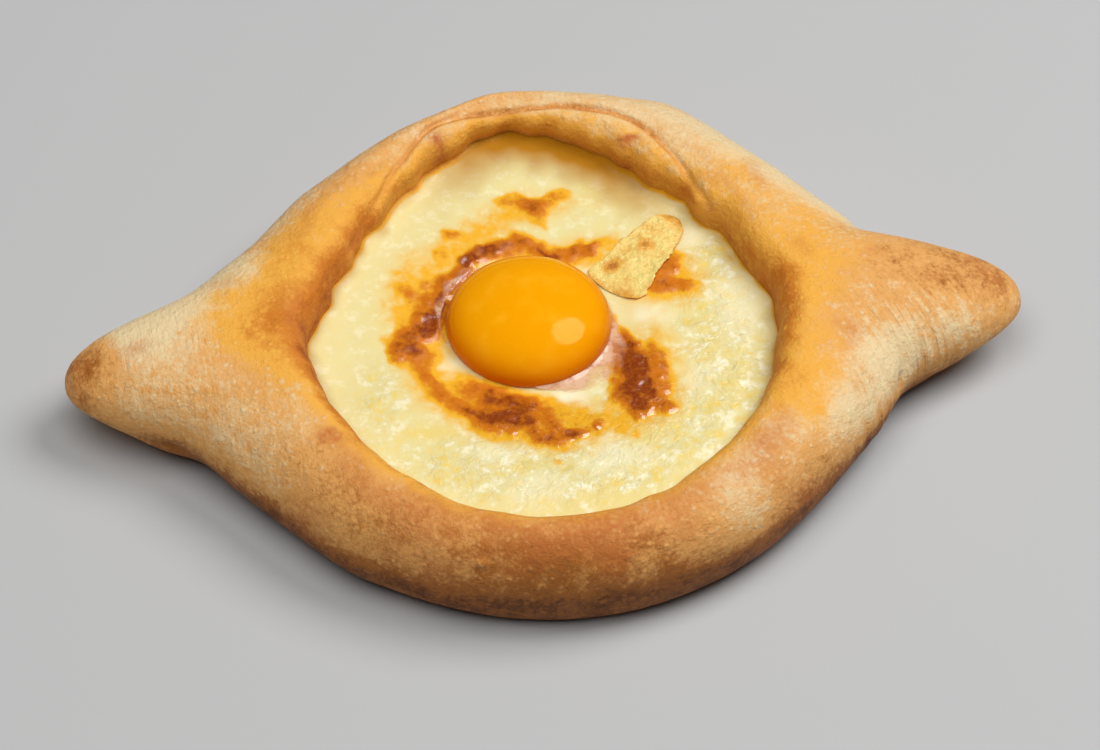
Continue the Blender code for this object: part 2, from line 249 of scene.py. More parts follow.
# Strength of the crust's tones, and where they begin and end, as above
MOST_BAKED, MOST_GLAZED = 1.2, 1.3
BAKE_ALL_OVER, BAKE_NEAR, BAKE_RIGHT = 0.15, 0.08, 0.08
NEAR_Y, RIGHT_X = (20, -40), (40, 100)
UPPER_Z, PALE_Z, REDDENED_Z, GLAZE_Z, UNDERSIDE_Z = (8, 24), (6, 20), (10, 20), (14, 22), (0.2, 3.0)
# Near side low down: browned, and darker still as painted shade
NEAR_SIDE_BAKE_AND_SHADE, NEAR_SIDE, NEAR_SIDE_Z = 1.75, (0.2, -0.5), (2, 24)
FAR_SIDE_BAKE, FAR_SIDE, FAR_SIDE_Z = 0.30, (-0.1, 0.5), (10, 29)
UNDERSIDE_BAKE = 0.30
NEAR_EDGE_BAKE, NEAR_EDGE_SIDE, NEAR_EDGE_Z, NEAR_EDGE_WIDTH = 0.50, (0.1, -0.4), (17, 21), 1.3
NEAR_EDGE_OFFSET = 0.2
ROLLED_SIDE = (-0.2, 0.3)
RIM_EDGE_GLAZE, RIM_EDGE_Z, RIM_EDGE_WIDTH = 0.30, (18, 22), 1.1
# The far crease is browned and reddened, partly as painted shade in the crease
CREASE_BAKE_AND_SHADE, CREASE_RED_AND_SHADE, CREASE_Z = 0.50, 0.55, (20, 25)
CREASE_TONE_WIDTH, CREASE_WANDER = 0.8, 0.25
# The far ledge is paler, partly as painted light where it faces away from the key light
LEDGE_PALENESS_AND_LIGHT, LEDGE_GLAZE, LEDGE_START, LEDGE_Z = 0.08, 0.12, (0, 2), (20, 24)
GLAZE_BANDS = ((0.58, 1, 4.2), (0.30, 0, 11))
GLAZE_WANDER, GLAZE_STRENGTH = 0.45, 1.25
FRECKLES, FRECKLED_X = 0.7, (40, 66)
STRETCH_RIGHT, STRETCH_RIGHT_X, STRETCH_RIGHT_Y = 0.7, (62, 86, 110, 120), (-8, 8)
STRETCH_LEFT, STRETCH_LEFT_X = 0.14, (-88, -70)

# Filling
CHEESE_LEVEL = 20.6 * MM
CHEESE_DIP = 1.6 * MM
CHEESE_DIP_REACH = 9 * MM
CHEESE_GAP = 0.3 * MM
CHEESE_WALL_HEIGHTS = (12 * MM, 16 * MM, 19 * MM)
CHEESE_REACH_IN_WALL = 0.5 * MM
CHEESE_UNDER_YOLK = 0.6 * MM
CHEESE_RAYS = 480
CHEESE_TOP_RINGS = 128
HOLLOW_FLOOR = 13.9 * MM
HOLLOW_RINGS = 12
CHEESE_FLOOR_SHARES = (0, 0.5, 0.99)
MOST_BROWNED = 1.3
HALO_STRENGTH = 2.3
CAUGHT_FROM = (0.05, 0.42)
BACK_SIDE = (0.45, 0.9)
# Cheese browned along the far wall, and darker under the lip as painted shade
BACK_EDGE_BAKE_AND_SHADE, BACK_EDGE = 0.55, (-3, 2.5)
WALL_EDGE_BAKE, WALL_EDGE = 0.46, (-0.6, 1.4)
# Painted shade on the cheese: darker under the far rim, and in a narrow band along the wall
SHADE_MIDDLE, SHADE_HALF_LENGTH, SHADE_SIDE = 7, 27, (0.2, 0.6)
SHADE_BACK, SHADE_BACK_REACH = 1.10, (1, 17)
SHADE_WALL, SHADE_WALL_REACH = 0.45, (-1, 3.5)
CRISP_RISE, CRISP_FROM = 0.30 * MM, (0.3, 0.9)
BUBBLE_RISE, BUBBLE_FROM = 0.35, (0.7, 1.1)
BROWNED_PATHS_MM = (
    (1.05, 3.1, (
        (-30, 4), (-27, 10.6), (-23.2, 17.8), (-18.0, 24.8),
        (-11.6, 29.2), (-4.3, 30.8), (1.4, 29), (4.8, 25),
    )),
    (0.36, 3.0, ((-34, 4), (-31.5, 11), (-27.6, 19.2))),
    (0.50, 3.2, ((-36, 2), (-36.6, -3), (-31.5, -4.5))),
    (0.50, 3.0, ((-33, -9), (-30.1, -16.5), (-25, -23), (-19, -27))),
    (0.36, 4.4, ((-21, -17), (-13, -20), (-3.6, -25), (-3, -32))),
    (0.60, 2.3, ((-7, -35.5), (-2, -36.4), (3.2, -34.6))),
    (0.28, 3.2, ((-22, -13), (-16.5, -18.5), (-9, -22), (-3, -23.5))),
    (0.42, 1.8, ((17.2, 4), (18.6, -2), (20.4, -6))),
    (0.44, 3.0, ((25.5, -9), (26.4, -14), (26.6, -20), (25.2, -28.5))),
)
BROWNED_MM = (
    (-14.3, -27.6, 7.6, 6.2, 0, 0.66), (-12.5, -27.5, 4.4, 3.8, 0, 0.34),
    (18.6, -6.5, 2.8, 4.6, 0, 0.9),
    (19.6, -14.5, 4.8, 6.2, 0, 1.14), (19.2, -22.4, 6.0, 6.4, 0, 1.10), (19.2, -29, 3.4, 3.2, 0, 0.8),
    (-4.4, 45.8, 4.6, 2.6, -8, 0.46), (1.8, 42.6, 4.2, 3.6, 0, 0.74), (8.6, 45.6, 4.6, 2.6, 12, 0.46),
    (3.2, 37.4, 2.0, 3.4, 0, 0.44), (-20.6, 35.2, 2.8, 2.5, 0, 0.56), (-24.4, 30.0, 2.2, 2.0, 0, 0.36),
    (-34.4, 17.2, 2.6, 3.4, 20, 0.42), (-36.8, -1.8, 4.6, 4.8, 0, 0.60),
    (-38.0, -2.6, 2.6, 2.6, 0, 0.40),
    (33.6, 17.6, 3.6, 6.4, -24, 0.62), (31.2, 10.8, 5.8, 3.0, 0, 0.52), (38.2, 10.6, 3.4, 2.4, 0, 0.46),
    (13.2, 27.0, 6.0, 2.6, 14, 0.66), (9.0, 23.8, 3.0, 2.2, 0, 0.46), (2.6, -34.6, 2.4, 2.2, 0, 0.3),
    (8.6, -31.8, 2.4, 2.8, 0, 0.46), (-1.8, -43.0, 2.2, 1.6, 0, 0.36), (26.0, -28.8, 2.8, 2.4, 0, 0.50),
    (17.2, -37.6, 2.6, 3.2, 0, 0.30), (-39, -30, 5, 2.0, 0, 0.22), (-22, 42, 3, 3, 0, 0.16),
    (-40.5, 14, 1.6, 2.6, 10, 0.26), (-36, 24, 1.8, 1.6, 0, 0.24), (-42, 3, 1.8, 2.4, 0, 0.26),
    (22, 33, 2.4, 1.4, 20, 0.26), (45, -2, 1.6, 2.0, 0, 0.16), (33, -34, 2.0, 1.6, 0, 0.18),
)
HALO_MM = (
    (-32, 8, 8, 20, 0, 0.20), (-16, 32, 16, 7, 35, 0.18), (-18, -22, 18, 10, -30, 0.24),
    (24, -16, 10, 16, 0, 0.18), (32, 14, 11, 10, 0, 0.20), (3, 43, 12, 6, 0, 0.12),
    (4, -32, 18, 8, 0, 0.20), (14, 26, 12, 5, 0, 0.18),
)
CREAM_MM = (
    (1.6, -23, 5.6, 4.4, 0, 1.0), (-26, -9, 4.6, 5.0, 0, 0.7), (27, 3, 6, 4.4, -20, 0.8),
    (12, -44, 9, 5, 10, 0.6), (-9, -51, 8, 5, 0, 0.5), (34, -20, 7, 6, 0, 0.5), (41, 27, 4, 4, 0, 0.6),
    (-18, -39, 6, 4, 0, 0.5), (10, -38, 4, 3, 0, 0.6), (49, 2, 6, 12, 0, 0.5), (-20, -15, 3, 3, 0, 0.4),
)
YELLOW_MM = (
    (-34, -30, 7, 3, 0, 0.6), (30, -12, 4, 9, 0, 0.5), (18, -39, 4, 5, 0, 0.7),
    (40, -8, 4, 12, 10, 0.4), (24, -33, 5, 4, 0, 0.5), (2.8, -30, 6, 4, 0, 0.5),
    (-11, -43, 8, 3, 0, 0.4), (31, -17, 4, 5, 0, 0.4), (45, -24, 6, 4, 40, 0.3),
    (2, -56, 26, 6, 0, 0.34), (-40, 12, 4, 10, 0, 0.2), (-6, 22, 10, 14, 0, 0.3),
    (20, 44, 9, 5, -30, 0.3),
)
OILY_MM = (
    (-14, -44, 30, 12, -12, 0.9), (22, -38, 26, 13, 25, 1.0), (44, -10, 12, 24, 0, 1.0),
    (46, 20, 8, 10, 0, 0.8), (-44, -18, 8, 14, -20, 0.6), (4, -30, 16, 8, 0, 0.7),
    (20, -16, 8, 14, 0, 1.0), (-12, -28, 10, 7, 0, 1.0), (-22, 16, 5, 20, -38, 0.8),
)

# Yolk, and the white of the egg that set round it
YOLK_RAYS = 192
YOLK_RINGS = 88
YOLK_DOME = 10.2 * MM
# Painted shade: the yolk darkens towards its base
YOLK_LOW_SHADE, YOLK_LOW_FROM, YOLK_LOW_TO = 0.9, -1 * MM, 7.6 * MM
FILM_STEPS = 160
FILM_SIDES = 24
FILM_THICKNESS = 0.42 * MM
FILM_THINNING = 0.6
FILM_LIFT = 0.12 * MM
FILM_CLIMB, FILM_CLIMB_REACH = 0.9 * MM, 1.2 * MM
FILM_END_POWER = 0.3
FILM_EDGE = 0.22
FILM_EDGE_DEGREES = 7.0
FILM_EDGE_PLACE = (3.3, 1.7)
FILM_BODY, FILM_FADE, FILM_FADE_FROM = 0.92, 0.92, 0.66
NEAR_FILM_OFFSET = -0.7 * MM
FAR_FILM_OFFSET = 1.6 * MM
NEAR_FILM_MM = (
    (-100, 0.3), (-90, 1.8), (-80, 3.4), (-68, 5.6), (-58, 7.2), (-46, 7.6), (-34, 6.8), (-22, 4.8),
    (-12, 3.0), (2, 1.8), (16, 1.4), (28, 0.6),
)
FAR_FILM_MM = (
    (106, 0.2), (116, 1.2), (125, 3.2), (133, 1.8), (141, 3.0), (150, 1.4), (158, 2.4), (168, 1.2),
    (178, 0.6), (190, 0.2),
)

# Baked strip
STRIP_START = (17.6 * MM, 12.0 * MM)
STRIP_END = (37.8 * MM, 34.2 * MM)
STRIP_TAPER = 0.46
STRIP_STEPS = 110
STRIP_SIDES = 96
STRIP_NEAR_POWER, STRIP_FAR_POWER = 16, 5
STRIP_ARCH = 0.35 * MM
STRIP_LIFT_SHARE = 0.1
STRIP_CLOSING = 14
# Ragged sides: (strength, waves, noise place on one side, noise place on the other)
STRIP_RAGGED = ((0.10, 9, (4.4, 2.0), (8.4, 6.0)), (0.06, 26, (1.4, 3.0), (5.4, 7.0)))
# Browned spots on the strip: (x, y, spread, strength)
STRIP_SPOTS = ((19.2, 19.6, 2.0, 0.75), (28.4, 25.2, 1.9, 0.60))
STRIP_BAKE, STRIP_SIDE_BAKE, STRIP_FAR_BAKE, STRIP_NEAR_BAKE = 0.12, 0.20, 0.50, 0.30
STRIP_SIDE_FROM, STRIP_FAR_FROM, STRIP_NEAR_FROM = (0.90, 1.0), (0.86, 1.0), (0.10, 0.0)


# Studio: lights as (disc, azimuth, elevation, distance), camera as it looks at the bread
FLOOR_HALF_WIDTH = 6.0
KEY_LIGHT = (0.96, 10, 57, 1.7)
WASH_LIGHT = (2.0, 243, 75, 2.4)
ROOM_TINT = (0.97, 0.98, 1.0)
CAMERA_LENS = 140.5
CAMERA_TARGET = Vector((0.2, -4.2, 8.0)) * MM
CAMERA_TOWARDS = Vector((-95.4, -705.3, 828.9))
CAMERA_ROLL = math.radians(0.45)
CAMERA_REACH = 20


def smooth(low, high, value):
    """0 below low, 1 above high, with a soft step between."""
    share = np.clip((value - low) / (high - low), 0, 1)
    return share * share * (3 - 2 * share)


def band(edges, value):
    """1 between the middle two of four edges, 0 outside the outer two."""
    return smooth(*edges[:2], value) * (1 - smooth(*edges[2:], value))


def bell(value, reach, power=2):
    """1 at zero, and a soft fall to nothing over about twice the reach."""
    return np.exp(-((value / reach) ** power))


def turns(count):
    """Angles, evenly spaced once round."""
    return math.tau * np.arange(count) / count


def lumps(places, size, shift):
    """Soft noise, about -1 to 1, whose lumps have a size, at an array of places."""
    flat = places.reshape(-1, 3) / size + shift
    return np.array([noise.noise(point) for point in flat.tolist()]).reshape(places.shape[:-1])


def layered(places, layers):
    """Layers of soft noise, added up."""
    return sum(strength * lumps(places, size * MM, shift) for strength, size, shift in layers)


def around(stations, angles):
    """Reads a smooth closed curve through (degrees, value) stations at angles in radians."""
    at, value = np.array(stations, float).T
    degrees = np.degrees(angles) % 360
    first = np.searchsorted(at, degrees, side="right") - 1

    def station(index):
        turns, place = np.divmod(index, len(at))
        return at[place] + 360 * turns, value[place]

    (a0, v0), (a1, v1), (a2, v2), (a3, v3) = (station(first + k) for k in (-1, 0, 1, 2))
    span = a2 - a1
    slope1 = (v2 - v0) / (a2 - a0) * span
    slope2 = (v3 - v1) / (a3 - a1) * span
    u = (degrees - a1) / span
    return (
        v1 * (2 * u**3 - 3 * u**2 + 1)
        + slope1 * (u**3 - 2 * u**2 + u)
        + v2 * (3 * u**2 - 2 * u**3)
        + slope2 * (u**3 - u**2)
    )


def to_path(places, path):
    """Distance from each place to a path of straight pieces."""
    path = np.array(path, float)
    best = np.full(places.shape[:-1], np.inf)
    for start, end in zip(path[:-1], path[1:]):
        along = end - start
        share = np.clip(((places - start) @ along) / (along @ along), 0, 1)
        best = np.minimum(best, np.linalg.norm(places - start - share[..., None] * along, axis=-1))
    return best


def ovals(x, y, table):
    """Soft ovals (x, y, half-length, half-width, turn, strength), laid over each other."""
    clear = np.ones_like(x)
    for middle_x, middle_y, long, wide, turn, strength in table:
        c, s = math.cos(math.radians(turn)), math.sin(math.radians(turn))
        along = ((x - middle_x) * c + (y - middle_y) * s) / long
        across = ((y - middle_y) * c - (x - middle_x) * s) / wide
        clear *= 1 - strength / OVAL_FULL * bell(along**2 + across**2, 1, OVAL_EDGE_POWER)
    return OVAL_FULL * (1 - clear)


def streaks(places, turn, width, length, shift):
    """Soft noise drawn out along a direction in plan, into lines of a width and a length."""
    c, s = math.cos(math.radians(turn)), math.sin(math.radians(turn))
    bent = LINE_BEND * lumps(places, LINE_BEND_SIZE, shift + 1.0)
    along = places[..., 0] * c + places[..., 1] * s
    across = places[..., 1] * c - places[..., 0] * s + bent
    drawn = np.stack([across / width, along / length, places[..., 2] / length], axis=-1)
    return lumps(drawn, 1.0, shift)


def drawn_out(places, lines):
    """Sets of lines, added up at their depths."""
    relief = 0.0
    for depth, turn, width, length, shift in lines:
        relief = relief + depth * MM * streaks(places, turn, width * MM, length * MM, shift)
    return relief


def polar(angles, radius, height, centre=(0.0, 0.0)):
    """Places at a radius and height along each angle."""
    x = centre[0] + radius * np.cos(angles)
    y = centre[1] + radius * np.sin(angles)
    return np.stack([x, y, np.broadcast_to(height, x.shape)], axis=-1)


def outward(places):
    """Unit normals of rings of places, which run round counterclockwise and up the outside."""
    round_it = np.roll(places, -1, axis=1) - np.roll(places, 1, axis=1)
    up_it = np.gradient(places, axis=0)
    normals = np.cross(round_it, up_it)
    length = np.linalg.norm(normals, axis=-1, keepdims=True)
    return normals / np.maximum(length, 1e-12)


def skin(name, places, fields, finish):
    """A closed piece from rings of places: a grid wrapped round, its seam and poles merged."""
    rings, rays = places.shape[:2]
    sheet = bmesh.new()
    bmesh.ops.create_grid(sheet, x_segments=rays, y_segments=rings - 1, size=1.0)
    mesh = bpy.data.meshes.new(name)
    sheet.to_mesh(mesh)
    wrapped = np.concatenate([places, places[:, :1]], axis=1)
    mesh.vertices.foreach_set("co", wrapped.ravel())
    for field, values in fields.items():
        kept = mesh.attributes.new(field, "FLOAT", "POINT")
        kept.data.foreach_set("value", np.concatenate([values, values[:, :1]], axis=1).ravel())
    sheet.clear()
    sheet.from_mesh(mesh)
    bmesh.ops.remove_doubles(sheet, verts=sheet.verts, dist=1e-7)
    bmesh.ops.recalc_face_normals(sheet, faces=sheet.faces)
    sheet.to_mesh(mesh)
    sheet.free()
    mesh.shade_smooth()
    piece = bpy.data.objects.new(name, mesh)
    bpy.context.scene.collection.objects.link(piece)
    mesh.materials.append(finish)
    return piece


def close_ends(rings):
    """Rings stacked up, with the first and the last drawn to a point."""
    places = np.stack(rings)
    for ring in (0, -1):
        places[ring] = places[ring].mean(axis=0)
    return places


def settle(piece, slot, *nodes):
    """Fixes a finished piece to the bread, and hides the frame's nodes that it stands for."""
    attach(piece, "root")
    if nodes:
        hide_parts(*nodes)


# Materials


FLOAT_SOCKET, VECTOR_SOCKET, COLOUR_SOCKET = (
    f"NodeSocket{kind}" for kind in ("Float", "Vector", "Color")
)
GREY = (0.5, 0.5, 0.5, 1.0)


class Wiring:
    """Short calls that add nodes to a tree and link them."""

    def __init__(self, tree):
        self.tree = tree

    def add(self, kind, inputs=(), **settings):
        node = self.tree.nodes.new(kind)
        for key, value in settings.items():
            setattr(node, key, value)
        for key, value in dict(inputs).items():
            self.feed(node.inputs[key], value)
        return node

    def feed(self, socket, value):
        if isinstance(value, bpy.types.NodeSocket):
            self.tree.links.new(value, socket)
        elif socket.type == "RGBA":
            socket.default_value = (*value, 1.0)[:4]
        else:
            socket.default_value = value

    def math(self, operation, first, second=0.0, clamp=False):
        inputs = {0: first, 1: second}
        return self.add("ShaderNodeMath", inputs, operation=operation, use_clamp=clamp).outputs[0]

    def times(self, first, second, clamp=False):
        return self.math("MULTIPLY", first, second, clamp)

    def plus(self, value, extra, share):
        """A value and a share of something extra."""
        inputs = {0: extra, 1: share, 2: value}
        return self.add("ShaderNodeMath", inputs, operation="MULTIPLY_ADD").outputs[0]

    def blend(self, share, first, second):
        inputs = {0: share, 6: first, 7: second}
        return self.add("ShaderNodeMix", inputs, data_type="RGBA").outputs[2]

    def step(self, value, low, high, to_low=0.0, to_high=1.0):
        """A soft step from to_low, where the value is low, to to_high, where it is high."""
        inputs = {"Value": value, "From Min": low, "From Max": high}
        inputs |= {"To Min": to_low, "To Max": to_high}
        return self.add("ShaderNodeMapRange", inputs, interpolation_type="SMOOTHSTEP").outputs[0]

    def noise(self, where, size, detail, roughness, distortion=0.0):
        inputs = {"Vector": where, "Scale": 1 / size, "Detail": detail}
        inputs |= {"Roughness": roughness, "Distortion": distortion}
        return self.add("ShaderNodeTexNoise", inputs).outputs[0]

    def attribute(self, name):
        return self.add("ShaderNodeAttribute", attribute_name=name).outputs["Fac"]

    def place(self):
        return self.add("ShaderNodeTexCoord").outputs["Object"]

    def use(self, group, inputs):
        return self.add("ShaderNodeGroup", inputs, node_tree=group).outputs[0]

    def baked(self, bake, raw, golden, brown, char):
        inputs = {"Bake": bake, "Raw": raw, "Golden": golden, "Brown": brown, "Char": char}
        return self.use(bake_colour_group(), inputs)

    def mottle(self, place, coarse, fine, fine_share):
        inputs = {"Place": place, "Coarse": coarse, "Fine": fine, "Fine share": fine_share}
        return self.use(mottle_group(), inputs)

    def blisters(self, place, spacing, size):
        return self.use(blister_group(), {"Place": place, "Spacing": spacing, "Size": size})

    def bump(self, shader, height, distance, strength=1.0):
        inputs = {"Height": height, "Distance": distance, "Strength": strength}
        self.feed(shader["Normal"], self.add("ShaderNodeBump", inputs).outputs[0])


def shared_group(name, takes, gives, wire):
    """A node group with named inputs and outputs, wired the first time that it is asked for."""
    group = bpy.data.node_groups.get(name)
    if group:
        return group
    group = bpy.data.node_groups.new(name, "ShaderNodeTree")
    for label, (kind, default) in takes.items():
        made = group.interface.new_socket(name=label, in_out="INPUT", socket_type=kind)
        if default is not None:
            made.default_value = default
    label, kind = gives
    group.interface.new_socket(name=label, in_out="OUTPUT", socket_type=kind)
    given = group.nodes.new("NodeGroupInput").outputs
    w = Wiring(group)
    w.feed(group.nodes.new("NodeGroupOutput").inputs[label], wire(w, given))
    return group


def bake_colour_group():
    """Colour of something baked: from raw through golden and brown to char, as it bakes."""

    def wire(w, given):
        bake = given["Bake"]
        golden = w.blend(w.step(bake, 0.0, 0.46), given["Raw"], given["Golden"])
        brown = w.blend(w.step(bake, 0.44, 0.95), golden, given["Brown"])
        return w.blend(w.step(bake, 0.92, 1.4), brown, given["Char"])

    takes = {"Bake": (FLOAT_SOCKET, 0.0)}
    takes |= {stage: (COLOUR_SOCKET, GREY) for stage in ("Raw", "Golden", "Brown", "Char")}
    return shared_group("Bake colour", takes, ("Colour", COLOUR_SOCKET), wire)


def mottle_group():
    """Uneven tone: coarse and fine noise added together, about -1 to 1."""

    def wire(w, given):
        tones = []
        for size, detail in (("Coarse", 4.0), ("Fine", 2.0)):
            scale = w.math("DIVIDE", 1.0, given[size])
            inputs = {"Vector": given["Place"], "Scale": scale, "Detail": detail, "Roughness": 0.55}
            tones.append(w.plus(-2.0, w.add("ShaderNodeTexNoise", inputs).outputs[0], 4.0))
        coarse = w.times(tones[0], w.math("SUBTRACT", 1.0, given["Fine share"]))
        return w.plus(coarse, tones[1], given["Fine share"])

    takes = {"Place": (VECTOR_SOCKET, None), "Coarse": (FLOAT_SOCKET, 8 * MM)}
    takes |= {"Fine": (FLOAT_SOCKET, 1.4 * MM), "Fine share": (FLOAT_SOCKET, 0.5)}
    return shared_group("Mottle", takes, ("Tone", FLOAT_SOCKET), wire)


def blister_group():
    """Tiny raised blisters: a mask of small round specks, not all of them equally strong."""

    def wire(w, given):
        scale = w.math("DIVIDE", 1.0, given["Spacing"])
        cells = w.add("ShaderNodeTexVoronoi", {"Vector": given["Place"], "Scale": scale}).outputs
        chance = w.add("ShaderNodeSeparateColor", {0: cells["Color"]}).outputs[0]
        reach = w.times(given["Size"], w.step(chance, 0.2, 1.0, 0.3, 1.6))
        return w.math("SUBTRACT", 1.0, w.math("DIVIDE", cells["Distance"], reach), clamp=True)

    takes = {"Place": (VECTOR_SOCKET, None), "Spacing": (FLOAT_SOCKET, 3 * MM)}
    takes |= {"Size": (FLOAT_SOCKET, 0.2)}
    return shared_group("Blisters", takes, ("Mask", FLOAT_SOCKET), wire)


def new_finish(name):
    """A material, its wiring, and its shader's inputs."""
    material = bpy.data.materials.new(name)
    material.use_nodes = True
    wiring = Wiring(material.node_tree)
    return material, wiring, material.node_tree.nodes["Principled BSDF"].inputs


def set_scatter(shader, weight, reach, scale):
    """Light that goes a little way into the food."""
    shader["Subsurface Weight"].default_value = weight
    shader["Subsurface Radius"].default_value = reach
    shader["Subsurface Scale"].default_value = scale


def stretched_lines(w, place):
    """Fine lines drawn across the horns' necks, where their masks are."""
    stretched = 0.0
    for mask, turn, width in STRETCHES:
        size = (STRETCH_LENGTH, width, STRETCH_LENGTH)
        inputs = {"Vector": place, "Rotation": (0, 0, math.radians(turn)), "Scale": size}
        drawn = w.add("ShaderNodeMapping", inputs, vector_type="TEXTURE").outputs[0]
        lines = w.math("SUBTRACT", w.noise(drawn, 1.0, 3.0, 0.55, 0.25), 0.5)
        stretched = w.plus(stretched, lines, w.attribute(mask))
    return stretched


def crust_finish(look):
    """Baked dough: pale where it was covered, golden round the well, reddish brown near the crest."""
    material, w, shader = new_finish("baked_dough")
    place = w.place()
    bake, glaze = w.attribute("bake"), w.attribute("glaze")
    tone = w.mottle(place, 7 * MM, 1.3 * MM, 0.5)
    blotch = w.mottle(place, 9 * MM, 3.2 * MM, 0.55)
    grain = w.noise(place, 0.8 * MM, 3.0, 0.7)
    rough_grain = w.math("SUBTRACT", grain, 0.5)
    wrinkles = w.noise(place, 2.6 * MM, 4.0, 0.55)
    specks = w.blisters(place, 3.4 * MM, 0.26)
    fine_specks = w.blisters(place, 1.7 * MM, 0.40)
    stretched = stretched_lines(w, place)

    # Blisters stay pale, more of them where the tone is uneven
    pale_specks = w.times(specks, w.step(bake, 0.1, 0.5, 0.05, 0.30))
    pale_specks = w.plus(pale_specks, fine_specks, w.step(bake, 0.1, 0.5, 0.06, 0.28))
    crowded = w.times(pale_specks, w.step(blotch, -0.6, 0.6, 0.35, 1.2))
    freckle = w.step(w.noise(place, 4.5 * MM, 4.0, 0.65), 0.60, 0.70)
    uneven = w.plus(bake, tone, w.step(bake, 0.0, 0.5, 0.06, 0.16))
    uneven = w.plus(uneven, blotch, w.step(bake, 0.1, 0.8, 0.12, 0.27))
    uneven = w.plus(uneven, rough_grain, w.step(bake, 0.1, 0.7, 0.30, 0.46))
    uneven = w.plus(uneven, crowded, -1.0)
    uneven = w.plus(uneven, freckle, w.times(w.attribute("freckles"), 0.22))
    uneven = w.plus(uneven, stretched, -0.9)
    # The darkest stage is reached mainly low on the near side, where it is partly painted shade
    baked = w.baked(uneven, look.dough, look.golden, look.brown, look.deep_brown_and_shade)

    # Butter-brown crust over it, round the well
    patchy = w.plus(w.times(blotch, 0.20), rough_grain, 0.36)
    glazed = w.plus(glaze, patchy, w.step(glaze, 0.05, 0.4))
    glazed = w.plus(glazed, pale_specks, -0.8)
    buttered = w.baked(glazed, baked, look.amber, look.rust, look.deep_rust)

    red = w.times(w.attribute("red"), w.step(tone, -0.8, 0.8, 0.55, 1.3))
    red = w.times(red, w.plus(1.0, fine_specks, -0.5), clamp=True)
    w.feed(shader["Base Color"], w.blend(red, buttered, look.reddened))
    w.feed(shader["Roughness"], w.step(tone, -1.0, 1.0, 0.52, 0.70))
    shader["Specular IOR Level"].default_value = 0.24
    set_scatter(shader, 0.10, (1.0, 0.45, 0.2), 1.5 * MM)
    height = w.times(grain, 0.32)
    for relief, strength in ((wrinkles, 0.50), (specks, 0.26), (fine_specks, 0.15), (stretched, 1.5)):
        height = w.plus(height, relief, strength)
    w.bump(shader, height, 1.0 * MM)
    return material


def cheese_finish(look):
    """Melted cheese: creamy and soft, golden to dark brown where the oven caught it, wet with oil, with
    painted shade under the far rim and along the wall.
    """
    material, w, shader = new_finish("melted_cheese")
    place = w.place()
    bake, oily = w.attribute("bake"), w.attribute("oil")
    grain = w.noise(place, 1.3 * MM, 3.0, 0.60)
    curds = w.noise(place, 3.0 * MM, 3.0, 0.55, 1.6)
    pools = w.mottle(place, 3.6 * MM, 1.6 * MM, 0.3)
    uneven = w.plus(bake, w.math("SUBTRACT", grain, 0.5), w.step(bake, 0.05, 0.5, 0.0, 0.60))
    toasted = w.baked(uneven, look.cheese, look.golden, look.brown, look.dark)

    # Yellow and cream pools where nothing is browned
    fresh = w.step(bake, 0.05, 0.4, 1.0, 0.0)
    yellow = w.times(w.step(pools, -0.1, 0.7), w.step(oily, 0.0, 0.8, 0.16, 0.95))
    yellow = w.times(w.math("MAXIMUM", yellow, w.attribute("yellow")), fresh, clamp=True)
    cream = w.times(w.step(pools, 0.0, -0.6), w.step(oily, 0.0, 0.8, 0.40, 1.0))
    cream = w.times(w.math("MAXIMUM", cream, w.attribute("cream")), fresh, clamp=True)
    pooled = w.blend(cream, w.blend(yellow, toasted, look.oiled), look.cream)
    # Painted shade blended over the cheese where its shaded mask is
    w.feed(shader["Base Color"], w.blend(w.attribute("shaded"), pooled, look.shaded))
    w.feed(shader["Roughness"], w.plus(0.46, oily, -0.28))
    w.feed(shader["Coat Weight"], w.times(oily, 1.1, clamp=True))
    shader["Coat Roughness"].default_value = 0.11
    shader["Specular IOR Level"].default_value = 0.30
    set_scatter(shader, 0.25, (1.0, 0.7, 0.3), 3 * MM)
    height = w.times(curds, w.step(oily, 0.0, 1.0, 0.06, 0.66))
    w.bump(shader, w.plus(height, grain, w.step(oily, 0.0, 1.0, 0.03, 0.14)), 1.0 * MM)
    return material


def yolk_finish(look):
    """Warm yolk under its thin wet skin, darker towards its base as painted shade."""
    material, w, shader = new_finish("egg_yolk")
    place = w.place()
    veil = w.step(w.noise(place, 6 * MM, 2.0, 0.5), 0.45, 0.75, 0.0, 0.25)
    warm = w.blend(veil, look.colour, look.veil)
    # Painted shade towards the yolk's base, from its low mask
    w.feed(shader["Base Color"], w.blend(w.attribute("low"), warm, look.low))
    w.feed(shader["Roughness"], w.step(veil, 0.0, 0.25, 0.09, 0.14))
    shader["Specular IOR Level"].default_value = 0.20
    shader["Specular Tint"].default_value = (1.0, 0.86, 0.34, 1.0)
    set_scatter(shader, 0.35, (1.0, 0.40, 0.03), 4 * MM)
    w.bump(shader, w.noise(place, 3 * MM, 2.0, 0.5), 0.05 * MM, 0.6)
    return material


def film_finish(look):
    """Half-set egg white: a thin, wet, milky film."""
    material, w, shader = new_finish("egg_white")
    place = w.place()
    milk = w.step(w.noise(place, 3.5 * MM, 3.0, 0.55), 0.35, 0.65)
    w.feed(shader["Base Color"], w.blend(milk, look.colour, look.milky))
    w.feed(shader["Alpha"], w.times(w.attribute("body"), w.step(milk, 0.0, 1.0, 0.34, 0.74)))
    shader["Roughness"].default_value = 0.10
    set_scatter(shader, 0.2, (1.0, 0.6, 0.5), 2 * MM)
    w.bump(shader, w.noise(place, 2.0 * MM, 2.0, 0.5), 0.12 * MM, 0.6)
    return material


